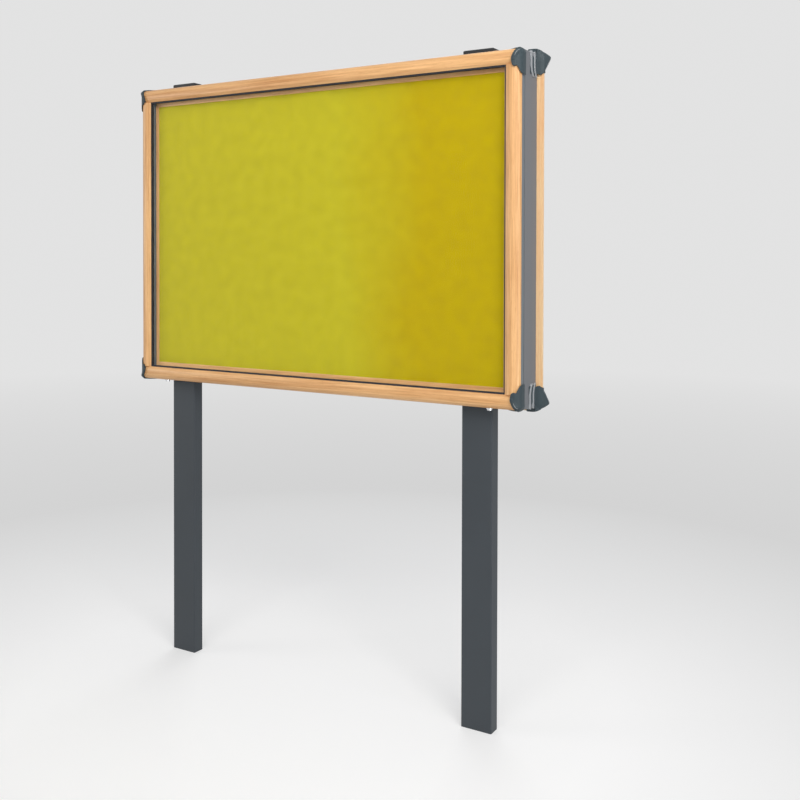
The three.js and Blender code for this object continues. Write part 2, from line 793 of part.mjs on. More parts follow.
function lockPlug() {
  const seat = -lockFlangeHeight - 2 * fit;
  const bezel = cylinder('z', bezelRadius, seat - bezelHeight, seat);
  const shaft = cylinder('z', plugRadius, seat - 1, lockBodyLength);
  const half = tenonWidth / 2;
  const capLevel = lockBodyLength + fit + camThickness + fit;
  const tenon = box(-half, half, -half, half, lockBodyLength - 1, capLevel + 1);
  const head = cylinder('z', plugRadius + 1, capLevel, capLevel + 2);
  const keyway = box(-0.6, 0.6, -3, 3, seat - bezelHeight - 1, seat + 4);
  return bezel.add(shaft).add(tenon).add(head).subtract(keyway);
}

// The cam is stored turned towards the middle of the board, so that the door is free to open.
function lockCam(sign) {
  const hub = cylinder('z', lockBodyRadius, 0, camThickness);
  const arm = box(-sign * camReach, 0, -camWidth / 2, camWidth / 2, 0, camThickness);
  const hook = box(-sign * camReach, -sign * (camReach - hookThickness), 0, camWidth / 2 + hookLength,
    0, camThickness);
  const half = tenonWidth / 2 + fit;
  const hole = box(-half, half, -half, half, -1, camThickness + 1);
  return hub.add(arm).add(hook).subtract(hole);
}

function keeper(sign) {
  const rear = camReach - hookThickness - 2 * fit;
  const foot = caseWall + 2 * fit;
  const wide = sign * keeperWidth;
  const base = box(0, wide, rear - keeperThickness, rear + keeperWidth, foot, foot + keeperThickness);
  const upstand = box(0, wide, rear - keeperThickness, rear, foot, lockBodyLength + 2 * camThickness);
  return base.add(upstand);
}

for (const [side, sign] of [['left', -1], ['right', 1]]) {
  const lock = groupAt(door, sign * lockCentre, lockDepth, lockFoot);
  place(lock, `${side}_lock_barrel`, 'chrome', lockBarrel());
  place(lock, `${side}_lock_plug`, 'chrome', lockPlug());
  place(lock, `${side}_lock_cam`, 'steel', lockCam(sign), [0, 0, lockBodyLength + fit]);
  const keeperAt = [sign * (lockCentre + camWidth / 2 + 4 * fit), lockDepth, lockFoot];
  place(board, `${side}_keeper`, 'steel', keeper(sign), keeperAt);
}

// Gas struts in the side pockets

const caseStud = new THREE.Vector2(hingeDepth + caseStudBehindHinge, hingeHeight - caseStudBelowHinge);
const doorStud = new THREE.Vector2(hingeDepth + doorStudBehindHinge, hingeHeight - doorStudBelowHinge);
const strutLength = caseStud.distanceTo(doorStud);
const strutTilt = Math.atan2(doorStud.x - caseStud.x, caseStud.y - doorStud.y);

// Both strut pieces hang down -Z from the case stud before they are tilted.
function strutCylinder() {
  const ring = cylinder('x', eyeRadius, -eyeWidth / 2, eyeWidth / 2);
  const bore = cylinder('x', studRadius + studClearance, -eyeWidth, eyeWidth);
  const neck = cylinder('z', rodRadius + 1, -eyeRadius - 6, -eyeRadius + 2);
  const shell = cylinder('z', cylinderRadius, -eyeRadius - 4 - cylinderLength, -eyeRadius - 4);
  const well = cylinder('z', rodRadius + rodClearance, -eyeRadius - 5 - cylinderLength, -eyeRadius - 10);
  return ring.add(neck).add(shell).subtract(well).subtract(bore);
}

function strutRod(sign) {
  const head = cylinder('x', eyeRadius - 1, -eyeWidth / 2, eyeWidth / 2, 0, -strutLength);
  const pin = cylinder('x', rodPinRadius, 0, rodPinLength + eyeWidth / 2, 0, -strutLength);
  const inner = -eyeRadius - 4 - cylinderLength + rodOverlap;
  const rod = cylinder('z', rodRadius, -strutLength + eyeRadius - 2, inner);
  return head.add(sign > 0 ? pin : pin.mirror([1, 0, 0])).add(rod);
}

function caseStudPiece(sign) {
  const wall = halfWidth - caseWall - fit - strutCentre;
  const plate = box(sign * wall, sign * (wall - studPlate), -12, 12, -11, 11);
  const pin = cylinder('x', studRadius, -eyeWidth / 2 - 1, wall - studPlate / 2, 0, 0, 16);
  return plate.add(sign > 0 ? pin : pin.mirror([1, 0, 0]));
}

// The slot gives the rod's pin the play that it needs while the door swings.
function doorStudPiece(sign) {
  const back = doorStud.x - doorDepth - fit;
  const armNear = eyeWidth / 2 + 2;
  const armFar = armNear + studPlate;
  const reach = rodPinRadius + fit;
  const plate = box(sign * (armFar - doorStudFoot), sign * armFar, -back, -back + studPlate, -20, 20);
  const arm = box(sign * armNear, sign * armFar, -back, slotTravel + reach + slotRim,
    -reach - slotRim, slotRise + reach + slotRim);
  const slot = box(sign * (armNear - 1), sign * (armFar + 1), -reach, slotTravel + reach,
    -reach, slotRise + reach);
  return plate.add(arm).subtract(slot);
}

for (const [side, sign] of [['left', -1], ['right', 1]]) {
  const strut = groupAt(board, sign * strutCentre, caseStud.x, caseStud.y);
  place(strut, `${side}_case_stud`, 'steel', caseStudPiece(sign));
  const tilted = new THREE.Group();
  tilted.rotation.x = strutTilt;
  strut.add(tilted);
  place(tilted, `${side}_strut_cylinder`, 'powderCoat', strutCylinder());
  place(tilted, `${side}_strut_rod`, 'chrome', strutRod(sign));
  place(door, `${side}_door_stud`, 'steel', doorStudPiece(sign), [sign * strutCentre, doorStud.x, doorStud.y]);
}

export default noticeBoard;
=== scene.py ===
# Finishes and fine shapes for a lockable notice board on two posts

import math

import bmesh
import bpy
from mathutils import Matrix, Vector
from mathutils.bvhtree import BVHTree


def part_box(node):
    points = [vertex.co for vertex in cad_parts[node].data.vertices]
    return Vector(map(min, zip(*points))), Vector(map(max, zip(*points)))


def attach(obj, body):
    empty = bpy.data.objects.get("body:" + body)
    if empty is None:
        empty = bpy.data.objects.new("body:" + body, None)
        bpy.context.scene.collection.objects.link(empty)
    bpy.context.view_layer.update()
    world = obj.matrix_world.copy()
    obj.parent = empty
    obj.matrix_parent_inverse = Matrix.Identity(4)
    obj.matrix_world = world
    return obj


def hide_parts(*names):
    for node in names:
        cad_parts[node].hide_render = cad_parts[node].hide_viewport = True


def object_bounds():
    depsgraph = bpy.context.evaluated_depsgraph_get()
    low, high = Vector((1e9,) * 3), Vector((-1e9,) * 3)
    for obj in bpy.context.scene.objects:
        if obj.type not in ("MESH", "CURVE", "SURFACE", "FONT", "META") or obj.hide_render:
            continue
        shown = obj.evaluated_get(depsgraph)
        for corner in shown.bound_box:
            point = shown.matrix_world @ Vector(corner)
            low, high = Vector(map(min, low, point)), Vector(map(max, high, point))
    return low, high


bl_info = {
    "name": "Lockable Notice Board",
    "version": (1, 0, 0),
    "blender": (4, 5, 0),
    "location": "3D View > Sidebar > Notice Board",
    "description": "Dresses a lockable notice board with its wood, metal, moulded and felt finishes",
    "category": "Object",
}

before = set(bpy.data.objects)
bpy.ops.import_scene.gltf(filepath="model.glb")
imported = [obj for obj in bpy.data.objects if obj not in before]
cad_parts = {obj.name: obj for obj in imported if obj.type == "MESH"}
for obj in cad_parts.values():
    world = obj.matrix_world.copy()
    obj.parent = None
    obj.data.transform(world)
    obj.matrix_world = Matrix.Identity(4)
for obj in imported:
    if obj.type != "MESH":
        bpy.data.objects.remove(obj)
CAD_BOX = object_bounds()

SIDES = (("left", -1), ("right", 1))
HEIGHTS = (("top", 1), ("bottom", -1))

# Camera, as the photograph was taken: millimetres, metres, degrees and a share of the frame's width
LENS = 44.93
SENSOR = 36.0
CAMERA_PLACE = (1.8073, -2.523, 1.3325)
CAMERA_TURN = (89.136, -0.129, 31.076)
CAMERA_SHIFT = -0.16

# Backdrop: levels of grey as the camera sees them, and the distances from the board at which they change
FLOOR_NEAR = 0.68
FLOOR_LIFT = 0.345
FLOOR_FADE = (0.9, 2.6)
FLOOR_SHADING = {"Roughness": 0.9, "Specular IOR Level": 0.1}
SHADE_LEVEL = 0.655
SKY_LEVEL = 0.765
SKY_FADE = (2.8, 9.0)
FLOOR_REACH = 40.0
FLOOR_DROP = 0.0005
AMBIENT_COLOUR = (0.95, 0.97, 1.0, 1.0)
AMBIENT_STRENGTH = 0.33

# Lamps: name, place, edge in metres, power in watts, colour
LAMP_TARGET = (0.0, 0.0, 1.2)
LAMPS = (
    ("key_soft", (2.4, -1.9, 3.3), 1.5, 56.0, (1.0, 0.98, 0.95)),
    ("front_soft", (1.0, -4.2, 4.2), 2.4, 58.0, (1.0, 0.98, 0.96)),
    ("left_soft", (-5.6, -3.4, 1.9), 2.2, 60.0, (1.0, 0.97, 0.93)),
    ("right_soft", (4.2, -1.4, 1.3), 2.2, 40.0, (0.97, 0.98, 1.0)),
    ("back_soft", (-2.0, 4.0, 3.0), 3.0, 60.0, (1.0, 1.0, 1.0)),
)

# Wood grain: stretch, detail, roughness and contrast of its layers, then how they add up
FLAMES = ((2.6, 46.0, 46.0), 3.0, 0.55, (0.38, 0.64))
GROWTH_LINES = ((5.0, 210.0, 210.0), 4.0, 0.6, (0.36, 0.66))
PORES = ((45.0, 1500.0, 1500.0), 1.0, 0.5, (0.60, 0.76))
LINES_SHARE = 0.55
PORE_TINT = (0.78, 0.66, 0.55, 1.0)
PORE_HEIGHT = 0.35
WOOD_ROUGHNESS = (0.36, 0.52)
WOOD_BUMP = (0.0002, 0.35)
WOOD_COAT = {"Coat Weight": 0.12, "Coat Roughness": 0.25}

# Wood finishes: name, the turn that lays the grain along X or upright, and the colours it takes
ALONG_X = (0.0, 0.0, 0.0)
UPRIGHT = (0.0, math.pi / 2, 0.0)
BEAD_WIDTH = 0.0125
WOODS = {
    "wood_across": ("Oak grain across", ALONG_X, "oak"),
    "wood_upright": ("Oak grain upright", UPRIGHT, "oak"),
    "wood_bead": ("Oak bead", ALONG_X, "oak"),
    # The rear frame's oak is a paler copy of the door's oak: painted light from the right.
    "rear_across": ("Pale oak across", ALONG_X, "rear"),
    "rear_upright": ("Pale oak upright", UPRIGHT, "rear"),
}

# Speckle of coats, metals and mouldings: its clouds, its fine grain, and how far it spreads the roughness
CLOUD_NOISE = {"Scale": 7.0, "Detail": 3.0}
GRAIN_DETAIL = 2.0
GRAIN_SHARE = 0.4
SPECKLE_SPAN = (0.35, 0.72)
SPECKLE_SPREAD = 0.16
SPECKLE_BUMP = 0.4

# Speckled finishes: name, colour or the setting that holds it, roughness, speckles to the metre, the rest
FINISHES = {
    "slate": ("Slate moulding", "slate", 0.46, 1400.0, {"shine": 0.35}),
    # A lighter copy of the slate: painted highlight on the caps' rounded edges and on the collar strips.
    "slate_edge": ("Slate edge", (0.285, 0.300, 0.315), 0.5, 1400.0, {}),
    "case": ("Grey anodised", "case_grey", 0.55, 700.0, {"shift": 1.04, "shine": 0.2}),
    # The carrier's own blue-grey, set darker than the case as painted shade beside the door's frame.
    "carrier": ("Blue grey anodised", "carrier_grey", 0.45, 700.0, {"metallic": 0.2, "shift": 1.06}),
    "post": ("Dark powder coat", "post", 0.45, 1100.0, {"shift": 1.2, "depth": 0.00009, "shine": 0.45}),
    "black": ("Black moulding", (0.012, 0.013, 0.015), 0.45, 1200.0, {}),
    "rubber": ("Black rubber", (0.012, 0.016, 0.024), 0.55, 900.0, {}),
    "zinc": ("Zinc plate", (0.55, 0.56, 0.57), 0.3, 260.0, {"metallic": 1.0, "shift": 0.8}),
    "stainless": ("Stainless", (0.55, 0.55, 0.55), 0.28, 500.0, {"metallic": 1.0, "shift": 0.9}),
    "chrome": ("Polished chrome", (0.86, 0.87, 0.88), 0.07, 300.0,
               {"metallic": 1.0, "shift": 0.97, "depth": 0.000001}),
    "enamel": ("Black enamel", (0.018, 0.018, 0.020), 0.25, 900.0, {"coat": 0.4}),
    "fibre": ("Raw fibreboard", (0.36, 0.25, 0.15), 0.85, 420.0, {"shift": 1.3}),
}

# Felt: its pile, then painted light: where its hue turns from green to gold along X and how that line leans
# with height
FIBRE_NOISE = {"Scale": 620.0, "Detail": 5.0, "Distortion": 1.4}
TUFT_NOISE = {"Scale": 26.0, "Detail": 4.0}
PILE_SHARE = 0.5
PILE_SPAN = (0.36, 0.66)
PILE_TINTS = (("Base", 0.90), ("Lit", 1.10))
LIGHT_DRIFT_NOISE = {"Scale": 2.2, "Detail": 3.0}
LIGHT_DRIFT_RAGGED = 0.35
FELT_LIGHT_DRIFT = (0.29, 0.56)
LIGHT_DRIFT_SLANT = 0.06
LIGHT_DRIFT_LEAN = -0.084
FELT_BUMP = (0.0006, 0.6)
FELT_SHADING = {"Roughness": 0.95, "Specular IOR Level": 0.0, "Sheen Weight": 0.06, "Sheen Roughness": 0.5,
                "Sheen Tint": (0.9, 0.8, 0.2, 1.0)}

# Glazing: dust on the pane, its shading, and the tint of the light that passes it
DUST_NOISE = {"Scale": 9.0, "Detail": 4.0}
DUST_HAZE = 0.02
GLASS_SHADING = {"Base Color": (0.98, 0.99, 0.98, 1.0), "Transmission Weight": 1.0, "IOR": 1.45,
                 "Specular Tint": (0.12, 0.12, 0.12, 1.0)}
GLASS_TINT = (0.97, 0.98, 0.97, 1.0)

# Meshes: merging distances in metres, and angles in degrees past which an edge stays sharp
WELD = 1e-6
FINE_WELD = 1e-7
PROFILE_WELD = 1e-5
COPLANAR = 0.5
COPY_EDGE = 32.0
PROFILE_EDGE = 30.0
STRIP_EDGE = 40.0

# Wood contours: start and width of the rebate behind the window edge, and steps of the curves
DOOR_REBATE = (0.002, 0.006)
REAR_REBATE = (0.009, 0.012)
SHOULDER_STEPS = 20
FACE_STEPS = 10
HALF_STEP = 0.5
LEAST_FACES = 8

# Rounded corners of the frames seen from the front: radius, and how far from square to round
DOOR_CORNER = (0.014, 1.0)
REAR_CORNER = (0.030, 0.85)
CORNER_CUT = 0.003

# Front caps: smoothing, and the ridge on the nose, in metres inwards and down from the frame's corner
RELAX_FACTOR = 0.5
RELAX_ROUNDS = 5
CAP_FACING = Vector((0.6, -0.65, 0.45)).normalized()
CAP_RIDGE = ((0.0008, 0.0075), (0.0104, 0.0129), (0.0177, 0.021), (0.0227, 0.031))
RIDGE_RISE = 0.0022
RIDGE_REACH = 0.010
RIDGE_ONSET = 2.0

# Rear leaf of the caps: its outline in depth behind the case's back edge and drop from the corner, its rim,
# the raised line behind the rim, and how far the skin beyond the leaf goes under the wood
LEAF_EDGE = ((0.0, -0.003), (0.015, 0.006), (0.029, 0.012), (0.038, 0.016), (0.036, 0.022), (0.026, 0.036),
             (0.013, 0.053), (0.0, 0.070))
LEAF_TIP = 3
LEAF_RIM = 0.0075
LEAF_FALL = 0.0008
LEAF_LINE = 0.0009
LEAF_LINE_HALF = 0.0025
LEAF_LINE_PATH = ((0.0325, 0.0205), (0.0295, 0.027), (0.0215, 0.038), (0.0105, 0.052), (0.003, 0.061))
LEAF_SPARE = 0.002
LEAF_UNDER = 0.00075

# Fine raised lines on the caps, in a lighter slate as painted highlight: size, how deep they sit, the start
# of their rays, and their tapered ends
LINE_RADIUS = 0.0009
LINE_SINK = 0.0004
LINE_START = 0.08
LINE_TIP = 0.3
LINE_TAPER = 5
LINE_STEPS = 5
LINE_ROUNDING = 2

# Collar strips on the case beside the rear caps, in a lighter slate as painted highlight: start and width in
# depth, height, reach down and inwards
COLLAR_STRIPS = ((0.0645, 0.0115), (0.0875, 0.0095))
COLLAR_SEAT = 0.0019
COLLAR_RISE = 0.0016
COLLAR_DROP = 0.066
COLLAR_REACH = 0.058
COLLAR_BOW = 0.013
COLLAR_BOW_FROM = 0.034
COLLAR_STEPS = 16
COLLAR_SECTION = 8

GROUPS = {}
MATERIALS = {}


# Settings

def length_setting(label, description, default):
    return bpy.props.FloatProperty(name=label, description=description, default=default, unit="LENGTH")


def colour_setting(label, description, default):
    return bpy.props.FloatVectorProperty(
        name=label, description=description, subtype="COLOR", size=3, min=0, max=1, default=default)


class NoticeBoardSizes(bpy.types.PropertyGroup):
    """Sizes of the pieces that are shaped here"""

    face_width: length_setting("Frame face", "Width of the wood contour", 0.042)
    shoulder_width: length_setting("Shoulder", "Width of the rounded shoulder", 0.024)
    crest_rise: length_setting("Crest", "Rise of the contour over its window edge", 0.006)
    contour_depth: length_setting("Shoulder depth", "Depth at which the shoulder ends", 0.0125)
    cap_detail: length_setting("Cap detail", "Voxel size of the corner caps", 0.0009)
    joint_gap: length_setting("Joint", "Half of the gap at a butt joint", 0.0003)


class NoticeBoardColours(bpy.types.PropertyGroup):
    """Colours of the finishes"""

    oak_light: colour_setting("Oak light", "Pale wood between the growth lines", (0.96, 0.575, 0.262))
    oak_dark: colour_setting("Oak dark", "Growth lines of the wood", (0.60, 0.280, 0.095))
    # Rear oak: the door's oak made paler, as painted light from the right.
    rear_light: colour_setting("Rear oak light", "Wood of the rear frame, paler as painted light", (1.0, 0.730, 0.420))
    rear_dark: colour_setting("Rear oak dark", "Growth lines of the rear frame", (0.90, 0.480, 0.215))
    # The two felt colours are one felt under painted light: greener on the left, golden on the right.
    felt_green_painted_light: colour_setting("Felt, green side", "Pinboard felt towards the left", (0.505, 0.447, 0.017))
    felt_gold_painted_light: colour_setting("Felt, gold side", "Pinboard felt towards the right", (0.485, 0.358, 0.002))
    slate: colour_setting("Slate", "Moulded corner caps", (0.036, 0.054, 0.063))
    case_grey: colour_setting("Case grey", "Side band of the case", (0.190, 0.198, 0.212))
    # Carrier grey: its own blue-grey, darker than the case as painted shade beside the door's frame.
    carrier_grey: colour_setting("Carrier grey", "Metal behind the door's wood", (0.160, 0.190, 0.215))
    post: colour_setting("Post", "Powder coat of the posts", (0.042, 0.051, 0.060))


# Node helpers

def wire(tree, source, target):
    """Links an output to a socket, or sets the socket to a plain value."""
    if isinstance(source, bpy.types.NodeSocket):
        tree.links.new(source, target)
    else:
        target.default_value = source


def wire_all(tree, node, values):
    for socket, value in values.items():
        wire(tree, value, node.inputs[socket])


def add_node(tree, kind, values=None, **settings):
    """A node with its settings made and its sockets set or linked."""
    node = tree.nodes.new(kind)
    for name, value in settings.items():
        setattr(node, name, value)
    wire_all(tree, node, values or {})
    return node


def outcome(tree, kind, values=None, **settings):
    """The first output of a new node."""
    return add_node(tree, kind, values, **settings).outputs[0]


def arithmetic(tree, operation, *values):
    return outcome(tree, "ShaderNodeMath", dict(enumerate(values)), operation=operation)


def noise(tree, vector, values):
    return outcome(tree, "ShaderNodeTexNoise", {"Vector": vector, **values})


def contrast(tree, source, low, high):
    """The source spread out from 0 at low to 1 at high."""
    return outcome(tree, "ShaderNodeMapRange", {"Value": source, "From Min": low, "From Max": high})


def blend_values(tree, first, second, share):
    node = add_node(tree, "ShaderNodeMix", {"Factor": share, "A": first, "B": second})
    return node.outputs["Result"]


def blend_colours(tree, share, first, second, way="MIX"):
    node = add_node(tree, "ShaderNodeMix", {"Factor": share, "A": first, "B": second},
                    data_type="RGBA", blend_type=way)
    return node.outputs["Result"]


def mix_shaders(tree, share, first, second):
    return outcome(tree, "ShaderNodeMixShader", {0: share, 1: first, 2: second})


def show(tree, surface):
    wire(tree, surface, tree.nodes["Material Output"].inputs["Surface"])


def new_group(name, inputs, outputs):
    """An empty shader group: its tree, the sockets that feed it, and the node that takes its results."""
    tree = bpy.data.node_groups.new(name, "ShaderNodeTree")
    for label, kind, default in inputs:
        socket = tree.interface.new_socket(label, in_out="INPUT", socket_type="NodeSocket" + kind)
        if default is not None:
            socket.default_value = default
    for label, kind in outputs:
        tree.interface.new_socket(label, in_out="OUTPUT", socket_type="NodeSocket" + kind)
    return tree, tree.nodes.new("NodeGroupInput").outputs, tree.nodes.new("NodeGroupOutput")


# Shared effects

def grain_layer(tree, vector, stretch, detail, roughness, span):
    """Stretched noise as a mask."""
    stretched = outcome(tree, "ShaderNodeMapping", {"Vector": vector, "Scale": stretch})
    values = {"Scale": 1.0, "Detail": detail, "Roughness": roughness}
    return contrast(tree, noise(tree, stretched, values), *span)


def make_wood_grain():
    tree, source, sink = new_group(
        "Wood grain along X",
        [("Vector", "Vector", None),
         ("Pale", "Color", (0.9, 0.6, 0.3, 1.0)),
         ("Dark", "Color", (0.7, 0.4, 0.2, 1.0))],
        [("Color", "Color"), ("Gloss", "Float"), ("Height", "Float")],
    )
    vector = source["Vector"]
    lines = grain_layer(tree, vector, *GROWTH_LINES)
    pores = grain_layer(tree, vector, *PORES)
    body = blend_values(tree, grain_layer(tree, vector, *FLAMES), lines, LINES_SHARE)
    colour = blend_colours(tree, body, source["Pale"], source["Dark"])
    smooth, rough = WOOD_ROUGHNESS
    wire_all(tree, sink, {
        "Color": blend_colours(tree, pores, colour, PORE_TINT, "MULTIPLY"),
        "Gloss": outcome(tree, "ShaderNodeMapRange", {"Value": lines, "To Min": smooth, "To Max": rough}),
        "Height": blend_values(tree, lines, pores, PORE_HEIGHT),
    })
    return tree


def make_speckle():
    tree, source, sink = new_group(
        "Fine speckle",
        [("Vector", "Vector", None),
         ("Grain", "Float", 900.0),
         ("Base", "Color", (0.1, 0.1, 0.1, 1.0)),
         ("Shift", "Color", (0.2, 0.2, 0.2, 1.0)),
         ("Roughness", "Float", 0.5)],
        [("Color", "Color"), ("Gloss", "Float"), ("Height", "Float")],
    )
    fine = noise(tree, source["Vector"], {"Scale": source["Grain"], "Detail": GRAIN_DETAIL})
    cloud = noise(tree, source["Vector"], CLOUD_NOISE)
    mask = contrast(tree, blend_values(tree, cloud, fine, GRAIN_SHARE), *SPECKLE_SPAN)
    spread = arithmetic(tree, "MULTIPLY", mask, SPECKLE_SPREAD)
    wire_all(tree, sink, {
        "Color": blend_colours(tree, mask, source["Base"], source["Shift"]),
        "Gloss": arithmetic(tree, "ADD", spread, source["Roughness"]),
        "Height": fine,
    })
    return tree


def make_felt_pile():
    tree, source, sink = new_group(
        "Felt pile",
        [("Vector", "Vector", None),
         ("Base", "Color", (0.5, 0.4, 0.02, 1.0)),
         ("Lit", "Color", (0.6, 0.5, 0.05, 1.0))],
        [("Color", "Color"), ("Height", "Float")],
    )
    fibres = noise(tree, source["Vector"], FIBRE_NOISE)
    tufts = noise(tree, source["Vector"], TUFT_NOISE)
    mask = contrast(tree, blend_values(tree, fibres, tufts, PILE_SHARE), *PILE_SPAN)
    colour = blend_colours(tree, mask, source["Base"], source["Lit"])
    wire_all(tree, sink, {"Color": colour, "Height": fibres})
    return tree


# Materials

def shared(name, maker):
    """A group that is made once and then used again."""
    if name not in GROUPS:
        GROUPS[name] = maker()
    return GROUPS[name]


def tinted(colour, factor=1.0):
    return tuple(min(1.0, channel * factor) for channel in colour) + (1.0,)


def start_material(name):
    """A new material, its tree, its main shader and the place of a point on the object."""
    material = bpy.data.materials.new(name)
    material.use_nodes = True
    tree = material.node_tree
    place = tree.nodes.new("ShaderNodeTexCoord").outputs["Object"]
    return material, tree, tree.nodes["Principled BSDF"], place


def take_group(tree, shader, group, bump, values):
    """Adds a shared effect and hands its results to the shader."""
    effect = add_node(tree, "ShaderNodeGroup", values, node_tree=group).outputs
    distance, strength = bump
    relief = {"Height": effect["Height"], "Distance": distance, "Strength": strength}
    wire(tree, effect["Color"], shader.inputs["Base Color"])
    wire(tree, outcome(tree, "ShaderNodeBump", relief), shader.inputs["Normal"])
    return effect


def wood_material(name, turn, pale, dark, upright_from=None):
    """Oak along X once turned; where upright_from is given, its grain stands upright past that |X|."""
    material, tree, shader, place = start_material(name)
    vector = outcome(tree, "ShaderNodeMapping", {"Vector": place, "Rotation": turn})
    if upright_from is not None:
        parts = add_node(tree, "ShaderNodeSeparateXYZ", {0: place}).outputs
        past = arithmetic(tree, "GREATER_THAN", arithmetic(tree, "ABSOLUTE", parts["X"]), upright_from)
        turned = outcome(tree, "ShaderNodeCombineXYZ", {"X": parts["Z"], "Y": parts["Y"], "Z": parts["X"]})
        choice = add_node(tree, "ShaderNodeMix", {"Factor": past, "A": vector, "B": turned},
                          data_type="VECTOR")
        vector = choice.outputs["Result"]
    values = {"Vector": vector, "Pale": tinted(pale), "Dark": tinted(dark)}
    grain = take_group(tree, shader, shared("wood", make_wood_grain), WOOD_BUMP, values)
    wire_all(tree, shader, {"Roughness": grain["Gloss"], **WOOD_COAT})
    return material


def speckled_material(name, colour, roughness, grain, metallic=0.0, shift=1.25, depth=0.00006, coat=0.0,
                      shine=0.5):
    """A coat, metal or moulding; shift is how much its speckles are lighter, and depth how deep they are."""
    if isinstance(colour, str):
        colour = getattr(bpy.context.scene.notice_board_colours, colour)
    material, tree, shader, place = start_material(name)
    values = {"Vector": place, "Grain": grain, "Base": tinted(colour), "Shift": tinted(colour, shift),
              "Roughness": roughness}
    speckle = take_group(tree, shader, shared("speckle", make_speckle), (depth, SPECKLE_BUMP), values)
    wire_all(tree, shader, {"Roughness": speckle["Gloss"], "Metallic": metallic, "Coat Weight": coat,
                            "Specular IOR Level": shine})
    return material


def felt_material(name):
    """Mustard felt whose hue drifts from green to gold across the board, as painted light."""
    colours = bpy.context.scene.notice_board_colours
    material, tree, shader, place = start_material(name)
    parts = add_node(tree, "ShaderNodeSeparateXYZ", {0: place}).outputs
    # Painted light: the felt's hue turns from green to gold across the board, leaning with height.
    painted_light_lean = arithmetic(tree, "MULTIPLY_ADD", parts["Z"], LIGHT_DRIFT_SLANT, LIGHT_DRIFT_LEAN)
    painted_light_drift = arithmetic(tree, "ADD", parts["X"], painted_light_lean)
    painted_light_ragged = arithmetic(tree, "MULTIPLY_ADD", noise(tree, place, LIGHT_DRIFT_NOISE), LIGHT_DRIFT_RAGGED, painted_light_drift)
    side = contrast(tree, painted_light_ragged, *FELT_LIGHT_DRIFT)
    values = {"Vector": place}
    for socket, factor in PILE_TINTS:
        green = tinted(colours.felt_green_painted_light, factor)
        gold = tinted(colours.felt_gold_painted_light, factor)
        values[socket] = blend_colours(tree, side, green, gold)
    take_group(tree, shader, shared("felt", make_felt_pile), FELT_BUMP, values)
    wire_all(tree, shader, FELT_SHADING)
    return material


def glass_material(name):
    """A clear pane with a faint reflection, which lets the lamps through."""
    material, tree, shader, place = start_material(name)
    dust = noise(tree, place, DUST_NOISE)
    haze = outcome(tree, "ShaderNodeMapRange", {"Value": dust, "To Min": 0.0, "To Max": DUST_HAZE})
    wire_all(tree, shader, {"Roughness": haze, **GLASS_SHADING})
    clear = outcome(tree, "ShaderNodeBsdfTransparent", {"Color": GLASS_TINT})
    paths = tree.nodes.new("ShaderNodeLightPath").outputs
    show(tree, mix_shaders(tree, paths["Is Shadow Ray"], shader.outputs[0], clear))
    return material


def material_for(key):
    """The finish of that key, made when it is first asked for."""
    if key in MATERIALS:
        return MATERIALS[key]
    if key in FINISHES:
        *basics, extras = FINISHES[key]
        MATERIALS[key] = speckled_material(*basics, **extras)
    elif key in WOODS:
        name, turn, oak = WOODS[key]
        colours = bpy.context.scene.notice_board_colours
        pale = getattr(colours, oak + "_light")
        dark = getattr(colours, oak + "_dark")
        upright_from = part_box("pinboard_bead")[1].x - BEAD_WIDTH if key == "wood_bead" else None
        MATERIALS[key] = wood_material(name, turn, pale, dark, upright_from)
    elif key == "felt":
        MATERIALS[key] = felt_material("Mustard felt")
    elif key == "glass":
        MATERIALS[key] = glass_material("Clear glazing")
    else:
        raise RuntimeError(f"no finish is called {key}")
    return MATERIALS[key]


# Mesh helpers

def dress(key, *names):
    """Gives carried-over nodes a finish."""
    for name in names:
        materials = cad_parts[name].data.materials
        materials.clear()
        materials.append(material_for(key))


def add_piece(name, mesh, key, body, slot, *replaced):
    """Turns a finished mesh into a piece that moves with its body."""
    mesh.materials.clear()
    mesh.materials.append(material_for(key))
    piece = bpy.data.objects.new(name, mesh)
    bpy.context.scene.collection.objects.link(piece)
    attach(piece, body)
    if replaced:
        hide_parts(*replaced)


def as_mesh(shape, name):
    mesh = bpy.data.meshes.new(name)
    shape.to_mesh(mesh)
    shape.free()
    return mesh


def smooth_faces(mesh, sharp_past=None):
    """Shades a mesh smooth, with its edges sharp past an angle where one is given."""
    for face in mesh.polygons:
        face.use_smooth = True
    if sharp_past is not None:
        mesh.set_sharp_from_angle(angle=math.radians(sharp_past))


def baked_copy(data, add_modifiers=None):
    """Runs modifiers on a mesh or curve through a passing object and returns the result as a plain mesh."""
    holder = bpy.data.objects.new("shape_maker", data)
    bpy.context.scene.collection.objects.link(holder)
    if add_modifiers:
        add_modifiers(holder)
    evaluated = holder.evaluated_get(bpy.context.evaluated_depsgraph_get())
    result = bpy.data.meshes.new_from_object(evaluated)
    holder.modifiers.clear()
    bpy.data.objects.remove(holder)
    return result


def smoothed_copy(name):
    """A copy of a node's mesh with its corners merged, its round faces smooth and its flats kept flat."""
    shape = bmesh.new()
    shape.from_mesh(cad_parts[name].data)
    bmesh.ops.remove_doubles(shape, verts=shape.verts, dist=WELD)
    bmesh.ops.join_triangles(shape, faces=shape.faces, angle_face_threshold=math.radians(COPLANAR),
                             angle_shape_threshold=math.pi)
    mesh = as_mesh(shape, name + "_fine")
    smooth_faces(mesh, COPY_EDGE)

    def keep_flats(holder):
        weights = holder.modifiers.new("Flats", "WEIGHTED_NORMAL")
        weights.keep_sharp = True

    return baked_copy(mesh, keep_flats)


def refine(key, body, slot, *names):
    """Replaces nodes by their smoothed copies."""
    for name in names:
        add_piece(name + "_fine", smoothed_copy(name), key, body, slot, name)


# Contour profiles

